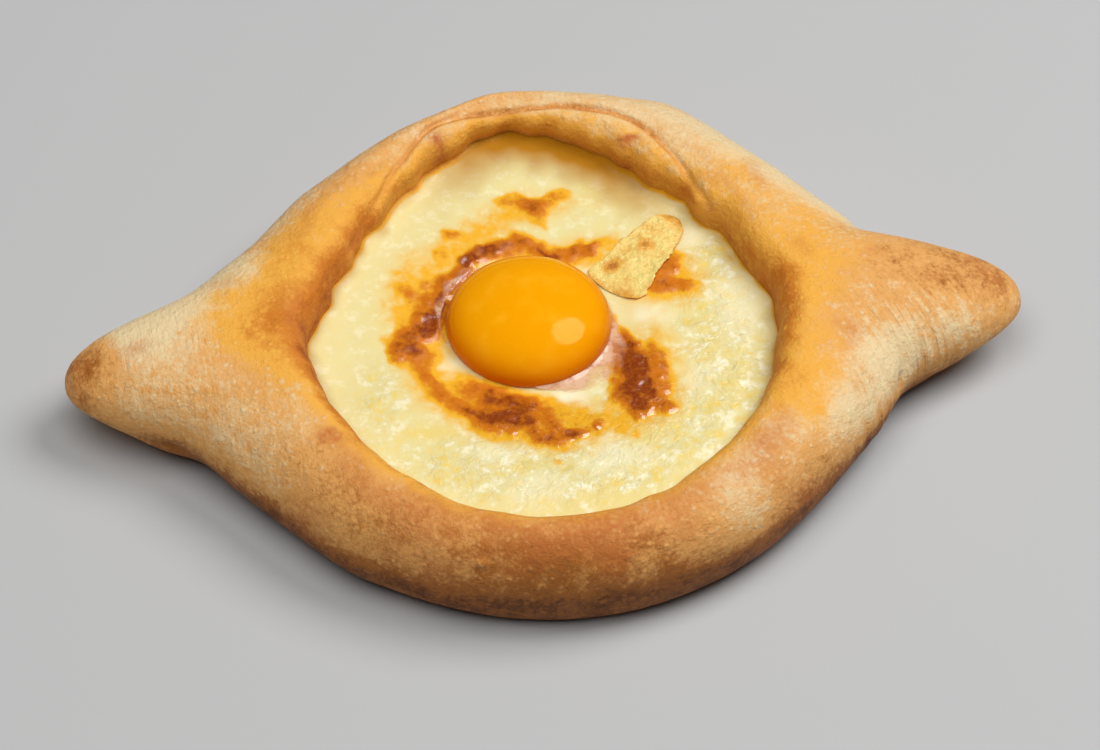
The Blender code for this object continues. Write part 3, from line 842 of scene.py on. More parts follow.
def strip_finish(look):
    """A blistered, pale gold skin with crisp brown edges."""
    material, w, shader = new_finish("baked_strip")
    place = w.place()
    tone = w.mottle(place, 3 * MM, 0.9 * MM, 0.5)
    specks = w.blisters(place, 1.7 * MM, 0.42)
    uneven = w.plus(w.plus(w.attribute("bake"), tone, 0.22), specks, -0.14)
    w.feed(shader["Base Color"], w.baked(uneven, look.pale, look.golden, look.brown, look.dark))
    w.feed(shader["Roughness"], w.step(tone, -1.0, 1.0, 0.22, 0.40))
    set_scatter(shader, 0.2, (1.0, 0.5, 0.2), 2 * MM)
    w.bump(shader, w.plus(w.noise(place, 1.2 * MM, 3.0, 0.6), specks, 0.4), 0.7 * MM, 0.9)
    return material


# Crust


def tipness(angles):
    """1 along the horns, 0 along the sides."""
    return bell(np.sin(angles), TIP_SPREAD)


def outline_radius(angles):
    """Distance from the middle to the widest outline: the belly running out into the horns."""
    half_width = np.where(np.sin(angles) < 0, HORN_NEAR_HALF_WIDTH, HORN_FAR_HALF_WIDTH)
    along = np.abs(np.cos(angles)) / (LENGTH / 2)
    across = np.abs(np.sin(angles)) / half_width
    horn = (along**HORN_POWER + across**HORN_POWER) ** (-1 / HORN_POWER)
    belly = around(BELLY_MM, angles) * MM
    return (belly**HORN_BLEND + horn**HORN_BLEND) ** (1 / HORN_BLEND)


def contact_radius(angles):
    """Distance from the middle to the edge of the flat underside, a pointed oval."""
    low, high = np.zeros_like(angles), np.full_like(angles, CONTACT_HALF_LENGTH)
    for _ in range(CONTACT_HALVINGS):
        radius = (low + high) / 2
        along = radius * np.abs(np.cos(angles)) / CONTACT_HALF_LENGTH
        half_width = CONTACT_HALF_WIDTH * np.cos(math.pi / 2 * along) ** CONTACT_POWER
        inside = radius * np.abs(np.sin(angles)) < half_width
        low, high = np.where(inside, radius, low), np.where(inside, high, radius)
    return low


def rolled_step(angles, share):
    """Depth of the rolled edge's step, at a share of the way from the crest to the outline."""
    off = (np.degrees(angles) + 90) % 360 - 180
    return ROLL_STEP * bell(off, ROLL_STEP_SPREAD, 4) * bell(share, ROLL_STEP_SHARE)


def lip_radius(angles):
    """Distance from the middle to the well's lip, which wavers, most at the far side."""
    circle = np.stack([np.cos(angles), np.sin(angles), 0 * angles], axis=-1) * LIP_WAVER_CIRCLE
    far = smooth(*LIP_FAR_SIDE, np.sin(angles))
    strength = LIP_WAVER * (LIP_WAVER_NEAR_SHARE + (1 - LIP_WAVER_NEAR_SHARE) * far)
    return around(WELL_LIP_MM, angles) * MM + strength * layered(circle, LIP_LAYERS)


def wall_radius(angles, height):
    """Distance from the middle to the well's wall at a height."""
    lip_height = around(LIP_HEIGHT_MM, angles) * MM
    share = np.clip((lip_height - height) / (lip_height - WELL_FLOOR), 0, 1)
    return lip_radius(angles) + around(UNDERCUT_MM, angles) * MM * np.sin(math.pi / 2 * share)


def crust_section(angles):
    """Rings of the bread's skin: a radius and a height at each angle, and a share of the relief."""
    outline, contact = outline_radius(angles), contact_radius(angles)
    lip = lip_radius(angles)
    crest = (around(WELL_LIP_MM, angles) + around(CREST_INSET_MM, angles)) * MM
    crest_height = around(CREST_HEIGHT_MM, angles) * MM
    lip_height = around(LIP_HEIGHT_MM, angles) * MM
    tip = tipness(angles)
    widest = WIDEST_HEIGHT_SIDE + (WIDEST_HEIGHT_TIP - WIDEST_HEIGHT_SIDE) * tip
    lower_power = SIDE_LOWER_POWER + (TIP_LOWER_POWER - SIDE_LOWER_POWER) * tip
    rings = []
    for i in range(UNDERSIDE_RINGS):
        rings.append((contact * i / UNDERSIDE_RINGS, 0 * angles, 0.0))
    for i in range(LOWER_RINGS):
        turn = math.pi / 2 * i / LOWER_RINGS
        out = math.sin(turn) ** (2 / lower_power)
        up = 1 - math.cos(turn) ** (2 / lower_power)
        rings.append((contact + (outline - contact) * out, widest * up, smooth(0, 1, i / LOWER_RINGS)))
    for i in range(UPPER_RINGS + 1):
        turn = math.pi / 2 * i / UPPER_RINGS
        share = math.cos(turn)
        height = widest + (crest_height - widest) * math.sin(turn) - rolled_step(angles, share)
        rings.append((crest + (outline - crest) * share, height, 1.0))
    for i in range(1, INNER_RINGS + 1):
        turn = math.pi / 2 * i / INNER_RINGS
        level = max(math.cos(turn), 0.0) ** INNER_EDGE_POWER
        height = lip_height + (crest_height - lip_height - rolled_step(angles, 0)) * level
        inward = math.sin(turn) ** INNER_EDGE_POWER
        share = 1 - (1 - LIP_RELIEF_SHARE) * i / INNER_RINGS
        rings.append((crest + (lip - crest) * inward, height, share))
    for i in range(1, WALL_RINGS + 1):
        height = lip_height + (WELL_FLOOR - lip_height) * i / WALL_RINGS
        rings.append((wall_radius(angles, height), height, 0.0 if i > 1 else WALL_RELIEF_SHARE))
    for i in range(1, FLOOR_RINGS + 1):
        share = 1 - i / FLOOR_RINGS
        rings.append((wall_radius(angles, WELL_FLOOR) * share, WELL_FLOOR, 0.0))
    return rings


def dough_relief(places, angles, sizes):
    """How far the dough's lumps, folds and stretch lines stand out, at each place."""
    x, y, z = (places[..., k] / MM for k in range(3))
    tip = np.broadcast_to(tipness(angles), x.shape)
    side = np.broadcast_to(np.sin(angles), x.shape)
    relief = sizes.lump_height * layered(places, LUMP_LAYERS)
    relief += sizes.pore_depth * layered(places, PORE_LAYERS)

    # Lines stretched across the neck of each horn, and soft folds under the left one
    right_neck = band(RIGHT_NECK_X, x) * (1 - smooth(*RIGHT_NECK_Y, y))
    relief += right_neck * drawn_out(places, RIGHT_NECK_LINES)
    relief += (1 - smooth(*LEFT_NECK_X, x)) * drawn_out(places, LEFT_NECK_LINES)
    relief += bell(x - TUCK_X, TUCK_LENGTH) * smooth(*TUCK_Y, y) * drawn_out(places, TUCK_LINES)
    for depth, half_width, path in FOLDS_MM:
        relief -= depth * MM * bell(to_path(places / MM, path), half_width)

    # The tucked lobe under the left horn
    away = sum(((at - middle) / reach) ** 2 for at, (middle, reach) in zip((x, y, z), LOBE_MM))
    relief += LOBE_DEPTH * np.exp(-away)

    # The rolled edge: a crease inside the far crest, and a thinner roll between it and the lip
    radius = np.hypot(x, y)
    crease = around(ROLL_CREASE_MM, angles) + layered(places * (1, 1, 0), CREASE_LAYERS)
    rolled = smooth(*ROLL_SIDE, side) * smooth(*ROLL_Z, z)
    relief -= CREASE_DEPTH * rolled * bell(radius - crease, CREASE_HALF_WIDTH)
    inside = (crease - radius) / np.maximum(crease - lip_radius(angles) / MM, 1.0)
    bulge = ROLL_SWELL * np.clip(inside, 0, 1.2) * np.clip(ROLL_END - inside, 0, 1)
    relief += ROLL_HEIGHT * rolled * bulge * (1 + layered(places, ROLL_LAYERS))
    return relief * (TIP_RELIEF_SHARE + (1 - TIP_RELIEF_SHARE) * (1 - tip))


def crust_fields(places, angles):
    """How far the dough is baked at each place, partly as painted shade low on the near side and in the
    far crease and as painted light on the far ledge, and where it is buttery, reddened or stretched.
    """
    x, y, z = (places[..., k] / MM for k in range(3))
    wander = layered(places, BAKE_WANDER_X)
    xs, ys = x + wander, y + layered(places, BAKE_WANDER_Y)
    side = np.broadcast_to(np.sin(angles), x.shape)
    radius = np.hypot(x, y)
    off_lip = radius - lip_radius(angles) / MM
    inside_crease = around(ROLL_CREASE_MM, angles) - radius
    top = smooth(*UPPER_Z, z)

    # Along the rolled edge: the lip's edge, the crease, darker partly as painted shade, and the ledge
    # between them, paler partly as painted light
    rolled = smooth(*ROLLED_SIDE, side)
    rim_edge = rolled * bell(off_lip, RIM_EDGE_WIDTH) * smooth(*RIM_EDGE_Z, z)
    crease_browning_and_shade = bell(CREASE_WANDER * wander - inside_crease, CREASE_TONE_WIDTH)
    crease_browning_and_shade = CREASE_BAKE_AND_SHADE * rolled * crease_browning_and_shade * smooth(*CREASE_Z, z)
    ledge = rolled * smooth(*LEDGE_START, inside_crease)

    golden = ovals(xs, ys, GOLDEN_MM) * top
    # The ledge's paleness is partly painted light
    bake = 1 - (1 - golden) * (1 - crease_browning_and_shade) * (1 + LEDGE_PALENESS_AND_LIGHT * ledge * smooth(*LEDGE_Z, z))
    bake += BAKE_ALL_OVER + BAKE_NEAR * smooth(*NEAR_Y, y) + BAKE_RIGHT * smooth(*RIGHT_X, x)
    bake -= ovals(xs, ys, PALE_MM) * smooth(*PALE_Z, z)
    near_edge = smooth(*NEAR_EDGE_SIDE, side) * smooth(*NEAR_EDGE_Z, z)
    bake += NEAR_EDGE_BAKE * near_edge * bell(off_lip - NEAR_EDGE_OFFSET, NEAR_EDGE_WIDTH)
    # Low on the near side the dough is browned partly for real and partly as painted shade; the far
    # side and the underside are browned
    zones = (
        (smooth(*NEAR_SIDE, side) * (1 - smooth(*NEAR_SIDE_Z, z)), NEAR_SIDE_BAKE_AND_SHADE, NEAR_SIDE_LAYERS),
        (smooth(*FAR_SIDE, side) * (1 - smooth(*FAR_SIDE_Z, z)), FAR_SIDE_BAKE, FAR_SIDE_LAYERS),
        (1 - smooth(*UNDERSIDE_Z, z), UNDERSIDE_BAKE, UNDERSIDE_LAYERS),
    )
    for zone, strength, layers in zones:
        bake += zone * (strength + layered(places, layers))

    off_edge = radius - around(WELL_LIP_MM, angles) + GLAZE_WANDER * wander
    lip_band = sum(share * bell(off_edge - middle, reach) for share, middle, reach in GLAZE_BANDS)
    glaze = (1 - around(GLAZED_LIP, angles) * lip_band) * (1 - ovals(xs, ys, GLAZED_MM))
    glaze = 1 - glaze * (1 - LEDGE_GLAZE * ledge) * (1 - RIM_EDGE_GLAZE * rim_edge)
    glaze *= GLAZE_STRENGTH * smooth(*GLAZE_Z, z) * (1 + layered(places, GLAZE_LAYERS))
    # Reddening along the far crease is partly painted shade
    red = ovals(xs, ys, REDDENED_MM) * smooth(*REDDENED_Z, z) + CREASE_RED_AND_SHADE * crease_browning_and_shade
    right_neck = band(STRETCH_RIGHT_X, x) * (1 - smooth(*STRETCH_RIGHT_Y, y))
    return {
        "bake": np.clip(bake, 0, MOST_BAKED),
        "glaze": np.clip(glaze, 0, MOST_GLAZED),
        "red": np.clip(red, 0, 1),
        "freckles": FRECKLES * smooth(*FRECKLED_X, np.abs(x)) * top,
        "stretch_right": STRETCH_RIGHT * right_neck,
        "stretch_left": STRETCH_LEFT * (1 - smooth(*STRETCH_LEFT_X, x)) * top,
    }


def make_crust(sizes):
    """The baked dough, one closed skin, its rays crowded towards the horns."""
    steps = turns(CRUST_RAYS)
    angles = steps - TIP_CROWDING * np.sin(2 * steps) / 2
    rings = crust_section(angles)
    places = np.stack([polar(angles, radius, height) for radius, height, _ in rings])
    weight = np.array([share for _, _, share in rings])[:, None]
    relief = dough_relief(places, angles, sizes) * weight
    places = places + outward(places) * relief[..., None]
    places[..., 2] = np.maximum(places[..., 2], 0)
    return skin("crust_loaf", places, crust_fields(places, angles), crust_finish(sizes))


# Cheese


def from_wall(x, y):
    """Distance in plan from each place to the well's lip, in millimetres."""
    return lip_radius(np.arctan2(y, x)) / MM - np.hypot(x, y)


def cheese_browning(places):
    """How far the cheese is browned, with painted shade under the far lip, and how wet with oil it is,
    at each place.
    """
    x, y = places[..., 0] / MM, places[..., 1] / MM
    flat = places * (1, 1, 0)
    xs, ys = x + layered(flat, CHEESE_WANDER_X), y + layered(flat, CHEESE_WANDER_Y)
    clear = 1 - ovals(xs, ys, BROWNED_MM) / OVAL_FULL
    plan = np.stack([xs, ys], axis=-1)
    for strength, half_width, path in BROWNED_PATHS_MM:
        clear *= 1 - strength / OVAL_FULL * bell(to_path(plan, path), half_width)
    caught = OVAL_FULL * (1 - clear)
    bake = HALO_STRENGTH * ovals(xs, ys, HALO_MM) * (1 + layered(flat, HALO_LAYERS))
    bake += smooth(*CAUGHT_FROM, caught) * caught * (1 + layered(flat, CAUGHT_LAYERS))
    off_wall = from_wall(x, y) + layered(flat, WALL_EDGE_LAYERS)
    back = smooth(*BACK_SIDE, np.sin(np.arctan2(y, x)))
    # Browned under the far lip, and darker there as painted shade
    bake += BACK_EDGE_BAKE_AND_SHADE * back * (1 - smooth(*BACK_EDGE, off_wall))
    bake += WALL_EDGE_BAKE * (1 - smooth(*WALL_EDGE, off_wall))
    oil = ovals(xs, ys, OILY_MM) * (1 + layered(flat, OIL_LAYERS))
    return np.clip(bake, 0, MOST_BROWNED), np.clip(oil, 0, 1)


def cheese_top(places):
    """Height of the filling's top at each place in plan."""
    flat = places * (1, 1, 0)
    away = np.hypot(places[..., 0] - YOLK_CENTRE.x, places[..., 1] - YOLK_CENTRE.y) - YOLK_RADIUS
    bake, oil = cheese_browning(places)
    height = CHEESE_LEVEL - CHEESE_DIP * bell(np.maximum(away, 0), CHEESE_DIP_REACH)
    height += MM * (layered(flat, CHEESE_SWELL_LAYERS) + oil * layered(flat, CURD_LAYERS))
    height += CRISP_RISE * smooth(*CRISP_FROM, bake)
    return height + MM * smooth(*BUBBLE_FROM, bake) * (BUBBLE_RISE + layered(flat, BUBBLE_LAYERS))


def make_cheese(sizes):
    """The melted cheese, from the well's floor up to its top, with the yolk's hollow in it."""
    steps = turns(CHEESE_RAYS)
    floor = WELL_FLOOR + CHEESE_GAP
    wall = wall_radius(steps, floor)
    rings = [polar(steps, wall * share, floor) for share in CHEESE_FLOOR_SHARES]
    for height in CHEESE_WALL_HEIGHTS:
        rings.append(polar(steps, wall_radius(steps, height), height))
    outer = wall_radius(steps, CHEESE_LEVEL) + CHEESE_REACH_IN_WALL
    edge = polar(steps, outer, CHEESE_LEVEL)
    inner = polar(steps, YOLK_RADIUS - CHEESE_UNDER_YOLK, CHEESE_LEVEL, YOLK_CENTRE)
    for k in range(CHEESE_TOP_RINGS + 1):
        ring = edge + (inner - edge) * (k / CHEESE_TOP_RINGS)
        ring[..., 2] = cheese_top(ring)
        rings.append(ring)
    last = rings[-1]
    centre = (YOLK_CENTRE.x, YOLK_CENTRE.y, 0)
    for k in range(1, HOLLOW_RINGS + 1):
        turn = math.pi / 2 * k / HOLLOW_RINGS
        ring = (last - centre) * (math.cos(turn), math.cos(turn), 1)
        ring[..., 2] = last[..., 2] + (HOLLOW_FLOOR - last[..., 2]) * math.sin(turn)
        rings.append(ring + centre)
    places = np.stack(rings)
    bake, oil = cheese_browning(places)
    x = places[..., 0] / MM + layered(places, CREAM_WANDER_X)
    y = places[..., 1] / MM + layered(places, CREAM_WANDER_Y)
    off_wall = from_wall(x, y)
    # Painted shade: strongest under the far rim, with a narrow band along the wall
    back = bell(x - SHADE_MIDDLE, SHADE_HALF_LENGTH, 4) * smooth(*SHADE_SIDE, np.sin(np.arctan2(y, x)))
    shaded = SHADE_BACK * back * (1 - smooth(*SHADE_BACK_REACH, off_wall))
    shaded = np.maximum(shaded, SHADE_WALL * (1 - smooth(*SHADE_WALL_REACH, off_wall)))
    fields = {"bake": bake, "oil": oil, "shaded": np.clip(shaded, 0, 1)}
    fields |= {"cream": ovals(x, y, CREAM_MM), "yellow": ovals(x, y, YELLOW_MM)}
    return skin("cheese_filling", places, fields, cheese_finish(sizes))


# Egg


def make_yolk(sizes):
    """The yolk: a dome above its widest ring, a shallower one below, and a slight sag."""
    steps = turns(YOLK_RAYS)
    widest = YOLK_HIGH.z - YOLK_DOME
    rises = math.pi * (np.arange(YOLK_RINGS + 1) / YOLK_RINGS - 0.5)
    rings = []
    for rise in rises:
        depth = YOLK_DOME if rise > 0 else widest - YOLK_LOW.z
        height = widest + depth * math.sin(rise)
        rings.append(polar(steps, YOLK_RADIUS * max(math.cos(rise), 0.0), height, YOLK_CENTRE))
    places = np.stack(rings)
    sag = MM * layered(places, YOLK_LAYERS) * np.cos(rises)[:, None]
    places = places + outward(places) * sag[..., None]
    # Painted shade: darker towards the base, where the yolk meets the cheese
    low = smooth(widest + YOLK_LOW_FROM, widest + YOLK_LOW_TO, places[..., 2])
    return skin("yolk_dome", places, {"low": YOLK_LOW_SHADE * (1 - low)}, yolk_finish(sizes))


def film_places(stations, offset):
    """Rings of a thin film that lies along the yolk: its cut is a flat lens, its ends run out."""
    at, widths = np.array(stations, float).T
    loop = turns(FILM_SIDES)
    out = (1 - np.cos(loop)) / 2
    rings = []
    for k in range(FILM_STEPS + 1):
        share = k / FILM_STEPS
        degrees = at[0] + (at[-1] - at[0]) * share
        end = math.sin(math.pi * share) ** FILM_END_POWER
        width = np.interp(degrees, at, widths) * MM * end * out
        edge = 1 + FILM_EDGE * noise.noise((degrees / FILM_EDGE_DEGREES, *FILM_EDGE_PLACE))
        radius = YOLK_RADIUS + offset * end + width * edge
        ring = polar(np.full(FILM_SIDES, math.radians(degrees)), radius, 0.0, YOLK_CENTRE)
        thick = np.sin(loop) * (FILM_THICKNESS * end) * (1 - FILM_THINNING * out)
        climb = FILM_CLIMB * end * bell(width, FILM_CLIMB_REACH) if offset < 0 else 0.0
        ring[..., 2] = cheese_top(ring) + FILM_LIFT + thick + climb
        rings.append(ring)
    return close_ends(rings)


def make_films(sizes):
    """The films of egg white, one that touches the yolk and one a little away from it."""
    finish = film_finish(sizes)
    fade = 1 - FILM_FADE * smooth(FILM_FADE_FROM, 1.0, (1 - np.cos(turns(FILM_SIDES))) / 2)
    films = (
        ("egg_white_near", NEAR_FILM_MM, NEAR_FILM_OFFSET),
        ("egg_white_far", FAR_FILM_MM, FAR_FILM_OFFSET),
    )
    pieces = []
    for name, stations, offset in films:
        places = film_places(stations, offset)
        body = (FILM_BODY + layered(places, FILM_LAYERS)) * fade
        pieces.append(skin(name, places, {"body": np.clip(body, 0, 1)}, finish))
    return pieces


# Baked strip


def make_strip(sizes):
    """The strip: a thin, tapered, crumpled skin that follows the cheese, its sides turned up."""
    start, end = np.array(STRIP_START), np.array(STRIP_END)
    length = math.dist(start, end)
    ahead = (end - start) / length
    loop = turns(STRIP_SIDES)
    side = np.cos(loop)
    rings = []
    for k in range(STRIP_STEPS + 1):
        share = k / STRIP_STEPS
        near = max(1 - 2 * share, 0) ** STRIP_NEAR_POWER
        far = max(2 * share - 1, 0) ** STRIP_FAR_POWER
        half_width = sizes.half_width * (1 - STRIP_TAPER * share) * max(1 - near - far, 0) ** 0.5
        ragged = 1.0
        for strength, waves, one, other in STRIP_RAGGED:
            wavers = [noise.noise((share * waves, *place)) for place in (one, other)]
            ragged = ragged + strength * np.where(side > 0, *wavers)
        across = side * half_width * ragged
        x = start[0] + ahead[0] * length * share - ahead[1] * across
        y = start[1] + ahead[1] * length * share + ahead[0] * across
        ring = np.stack([x, y, 0 * x], axis=-1)
        bulge = sizes.thickness / 2 * np.sign(np.sin(loop)) * np.abs(np.sin(loop)) ** 0.5
        curl = sizes.edge_lift * side**4 + STRIP_ARCH * (1 - side**2)
        closing = min(1, STRIP_CLOSING * share * (1 - share))
        lift = STRIP_LIFT_SHARE * sizes.thickness
        ring[..., 2] = cheese_top(ring) + lift + curl + bulge * closing
        rings.append(ring)
    places = close_ends(rings)
    places[..., 2] += MM * layered(places, CRUMPLE_LAYERS)
    along = (places[..., :2] - start) @ ahead / length
    bake = STRIP_BAKE + STRIP_SIDE_BAKE * smooth(*STRIP_SIDE_FROM, np.abs(side))
    bake = bake + STRIP_FAR_BAKE * smooth(*STRIP_FAR_FROM, along)
    bake += STRIP_NEAR_BAKE * smooth(*STRIP_NEAR_FROM, along)
    for x, y, spread, strength in STRIP_SPOTS:
        bake += strength * bell(np.linalg.norm(places[..., :2] / MM - (x, y), axis=-1), spread)
    bake += layered(places, STRIP_TONE_LAYERS)
    fields = {"bake": np.clip(bake, 0, MOST_BAKED)}
    return skin("strip_skin", places, fields, strip_finish(sizes))


# Studio


def make_stage(scene, sizes):
    """A plain floor, two soft lights, a dim room and the camera."""
    sheet = bmesh.new()
    bmesh.ops.create_grid(sheet, x_segments=1, y_segments=1, size=FLOOR_HALF_WIDTH)
    mesh = bpy.data.meshes.new("floor")
    sheet.to_mesh(mesh)
    sheet.free()
    floor = bpy.data.objects.new("floor", mesh)
    scene.collection.objects.link(floor)
    material, w, shader = new_finish("plain_floor")
    w.feed(shader["Base Color"], sizes.floor)
    shader["Roughness"].default_value = 0.9
    shader["Specular IOR Level"].default_value = 0.1
    mesh.materials.append(material)

    add_softbox(scene, "key", sizes.key_power, *KEY_LIGHT)
    wash = add_softbox(scene, "wash", sizes.wash_power, *WASH_LIGHT)
    wash.visible_glossy = False
    world = bpy.data.worlds.new("room")
    world.use_nodes = True
    room = world.node_tree.nodes["Background"].inputs
    room["Color"].default_value = (*ROOM_TINT, 1.0)
    room["Strength"].default_value = sizes.fill
    scene.world = world
    scene.view_settings.view_transform = "Standard"

    camera = bpy.data.objects.new("camera", bpy.data.cameras.new("camera"))
    scene.collection.objects.link(camera)
    camera.data.lens = CAMERA_LENS
    away = CAMERA_TOWARDS.normalized() * sizes.camera_distance
    camera.location = CAMERA_TARGET + away
    turn = (-away).to_track_quat("-Z", "Y") @ Euler((0, 0, CAMERA_ROLL)).to_quaternion()
    camera.rotation_euler = turn.to_euler()
    camera.data.clip_end = CAMERA_REACH
    scene.camera = camera


def add_softbox(scene, name, power, size, azimuth, elevation, distance):
    """A soft disc of light that faces the bread."""
    light = bpy.data.lights.new(name, "AREA")
    light.shape = "DISK"
    light.size = size
    light.energy = power
    lamp = bpy.data.objects.new(name, light)
    scene.collection.objects.link(lamp)
    turn, rise = math.radians(azimuth), math.radians(elevation)
    level = math.cos(rise)
    towards = Vector((math.cos(turn) * level, math.sin(turn) * level, math.sin(rise)))
    lamp.location = towards * distance
    lamp.rotation_euler = towards.to_track_quat("Z", "Y").to_euler()
    return lamp


# What a user would change


def shade(name, description, default):
    limits = {"size": 3, "min": 0, "max": 1}
    return FloatVectorProperty(
        name=name, description=description, default=default, subtype="COLOR", **limits
    )


def length(name, description, default):
    limits = {"min": 0, "precision": 5}
    return FloatProperty(
        name=name, description=description, default=default, unit="LENGTH", **limits
    )


def power(name, description, default):
    return FloatProperty(name=name, description=description, default=default, unit="POWER", min=0)


class KHACHAPURI_PG_crust(bpy.types.PropertyGroup):
    """Shape and colours of the baked dough"""

    lump_height: length("Lumps", "Height of the dough's soft lumps", 0.75 * MM)
    pore_depth: length("Pores", "Depth of the dough's fine pores", 0.10 * MM)
    dough: shade("Dough", "Pale dough that the oven barely coloured", (0.81, 0.62, 0.345))
    golden: shade("Golden", "Lightly baked crust", (0.75, 0.370, 0.108))
    brown: shade("Brown", "Browned crust", (0.39, 0.132, 0.021))
    deep_brown_and_shade: shade("Deep brown", "Darkest crust, and painted shade low on the near side", (0.15, 0.045, 0.008))
    amber: shade("Amber", "Buttery crust round the well", (0.83, 0.405, 0.060))
    rust: shade("Rust", "Browned buttery crust at the lip", (0.62, 0.205, 0.022))
    deep_rust: shade("Deep rust", "Darkest buttery crust", (0.34, 0.075, 0.010))
    reddened: shade("Reddened", "Reddish brown of the near crest", (0.52, 0.155, 0.038))


class KHACHAPURI_PG_cheese(bpy.types.PropertyGroup):
    """Colours of the melted cheese"""

    cheese: shade("Cheese", "Melted cheese", (0.765, 0.675, 0.325))
    cream: shade("Cream", "Palest melted cheese", (0.90, 0.85, 0.60))
    oiled: shade("Oiled", "Cheese with oil on it", (0.82, 0.60, 0.13))
    golden: shade("Golden", "Cheese as it starts to brown", (0.83, 0.43, 0.022))
    brown: shade("Brown", "Browned cheese", (0.60, 0.175, 0.007))
    dark: shade("Dark", "Cheese that the oven caught", (0.24, 0.038, 0.004))
    # Colour of the painted shade on the cheese under the rim
    shaded: shade("Edge", "Painted shade on the cheese under the rim", (0.42, 0.180, 0.008))


class KHACHAPURI_PG_yolk(bpy.types.PropertyGroup):
    """Colours of the yolk"""

    colour: shade("Yolk", "Yolk", (0.87, 0.352, 0.0010))
    low: shade("Low", "Painted shade on the yolk near the cheese", (0.64, 0.128, 0.0008))
    veil: shade("Veil", "Thin milky places on the yolk", (0.960, 0.480, 0.020))


class KHACHAPURI_PG_white(bpy.types.PropertyGroup):
    """Colours of the egg white"""

    colour: shade("Film", "Thin egg white over browned cheese", (0.82, 0.37, 0.20))
    milky: shade("Milky", "Egg white where it has set", (0.88, 0.56, 0.38))


class KHACHAPURI_PG_strip(bpy.types.PropertyGroup):
    """Shape and colours of the baked strip"""

    half_width: length("Half-width", "Half the strip's width at the yolk", 8.8 * MM)
    thickness: length("Thickness", "Thickness of the strip", 0.8 * MM)
    edge_lift: length("Edge lift", "How far the edges turn up", 0.5 * MM)
    pale: shade("Pale", "Palest part of the strip", (0.90, 0.68, 0.22))
    golden: shade("Golden", "Golden part of the strip", (0.76, 0.38, 0.06))
    brown: shade("Brown", "Brown edges and spots", (0.45, 0.14, 0.016))
    dark: shade("Dark", "Darkest edge", (0.20, 0.045, 0.008))


class KHACHAPURI_PG_stage(bpy.types.PropertyGroup):
    """Floor, light and camera"""

    floor: shade("Floor", "Colour of the floor", (0.47, 0.47, 0.47))
    key_power: power("Key light", "Power of the soft light", 19)
    wash_power: power("Wash", "Power of the wide light above the near side", 41)
    fill: FloatProperty(name="Fill", description="Brightness of the room", default=0.045, min=0)
    camera_distance: length("Camera distance", "From the camera to the bread", 1.093)


class KhachapuriMaker:
    """What the operators share."""

    bl_options = {"REGISTER", "UNDO"}


class KHACHAPURI_OT_crust(KhachapuriMaker, bpy.types.Operator):
    """Make the baked dough"""

    bl_idname = "khachapuri.crust"
    bl_label = "Crust"

    def execute(self, context):
        settle(make_crust(context.scene.khachapuri_crust), "crust", "crust")
        return {"FINISHED"}


class KHACHAPURI_OT_cheese(KhachapuriMaker, bpy.types.Operator):
    """Make the melted cheese"""

    bl_idname = "khachapuri.cheese"
    bl_label = "Cheese"

    def execute(self, context):
        settle(make_cheese(context.scene.khachapuri_cheese), "cheese", "cheese")
        return {"FINISHED"}


class KHACHAPURI_OT_yolk(KhachapuriMaker, bpy.types.Operator):
    """Make the egg yolk"""

    bl_idname = "khachapuri.yolk"
    bl_label = "Yolk"

    def execute(self, context):
        settle(make_yolk(context.scene.khachapuri_yolk), "yolk", "yolk")
        return {"FINISHED"}


class KHACHAPURI_OT_white(KhachapuriMaker, bpy.types.Operator):
    """Make the films of egg white beside the yolk"""

    bl_idname = "khachapuri.white"
    bl_label = "Egg white"

    def execute(self, context):
        for piece in make_films(context.scene.khachapuri_white):
            settle(piece, "cheese")
        return {"FINISHED"}


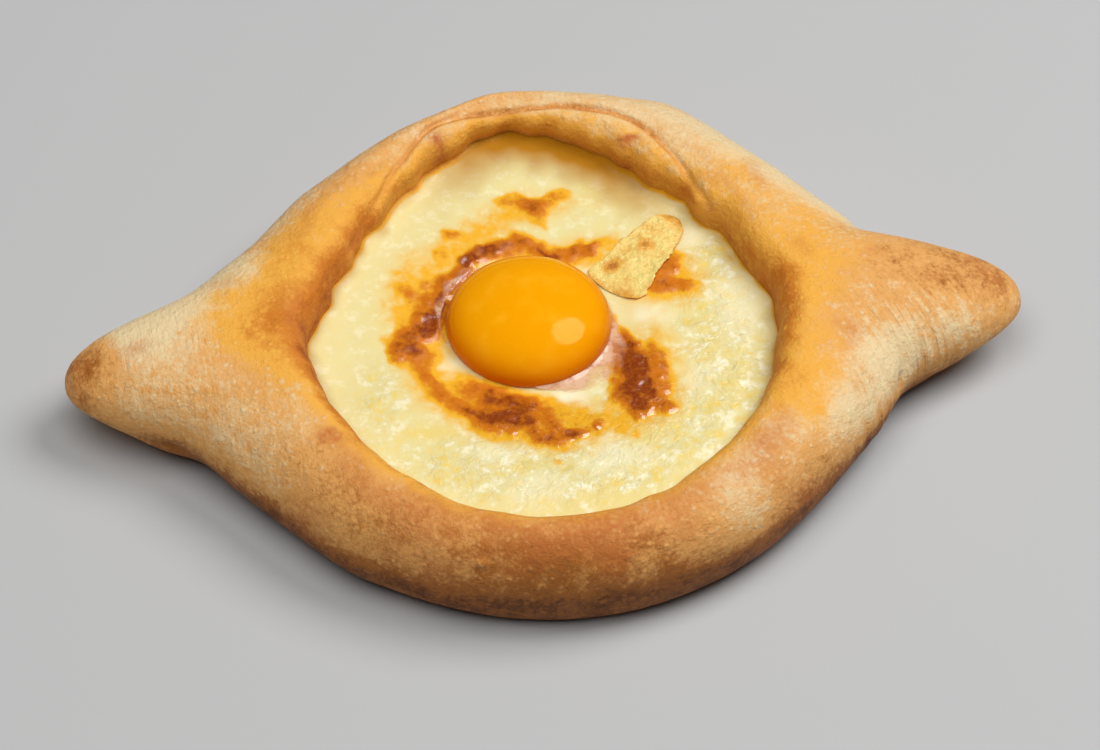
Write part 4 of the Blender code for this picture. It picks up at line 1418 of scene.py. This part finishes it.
class KHACHAPURI_OT_strip(KhachapuriMaker, bpy.types.Operator):
    """Make the baked strip that lies on the cheese"""

    bl_idname = "khachapuri.strip"
    bl_label = "Baked strip"

    def execute(self, context):
        settle(make_strip(context.scene.khachapuri_strip), "baked_strip", "baked_strip")
        return {"FINISHED"}


class KHACHAPURI_OT_stage(KhachapuriMaker, bpy.types.Operator):
    """Set up the floor, the lights and the camera"""

    bl_idname = "khachapuri.stage"
    bl_label = "Studio"

    def execute(self, context):
        make_stage(context.scene, context.scene.khachapuri_stage)
        return {"FINISHED"}


class KHACHAPURI_PT_panel(bpy.types.Panel):
    bl_idname = "KHACHAPURI_PT_panel"
    bl_label = "Khachapuri"
    bl_space_type = "VIEW_3D"
    bl_region_type = "UI"
    bl_category = "Khachapuri"

    def draw(self, context):
        for name, group, maker in PIECES:
            box = self.layout.box()
            for key in group.__annotations__:
                box.prop(getattr(context.scene, name), key)
            box.operator(maker.bl_idname)


PIECES = (
    ("khachapuri_crust", KHACHAPURI_PG_crust, KHACHAPURI_OT_crust),
    ("khachapuri_cheese", KHACHAPURI_PG_cheese, KHACHAPURI_OT_cheese),
    ("khachapuri_yolk", KHACHAPURI_PG_yolk, KHACHAPURI_OT_yolk),
    ("khachapuri_white", KHACHAPURI_PG_white, KHACHAPURI_OT_white),
    ("khachapuri_strip", KHACHAPURI_PG_strip, KHACHAPURI_OT_strip),
    ("khachapuri_stage", KHACHAPURI_PG_stage, KHACHAPURI_OT_stage),
)
CLASSES = [group for _, group, _ in PIECES] + [maker for _, _, maker in PIECES]
CLASSES.append(KHACHAPURI_PT_panel)


def register():
    for one in CLASSES:
        bpy.utils.register_class(one)
    for name, group, _ in PIECES:
        setattr(bpy.types.Scene, name, PointerProperty(type=group))


def unregister():
    for name, _, _ in PIECES:
        delattr(bpy.types.Scene, name)
    for one in reversed(CLASSES):
        bpy.utils.unregister_class(one)


def main():
    register()
    bpy.ops.khachapuri.crust()
    bpy.ops.khachapuri.cheese()
    bpy.ops.khachapuri.yolk()
    bpy.ops.khachapuri.white()
    bpy.ops.khachapuri.strip()
    bpy.ops.khachapuri.stage()


if __name__ == "__main__":
    main()
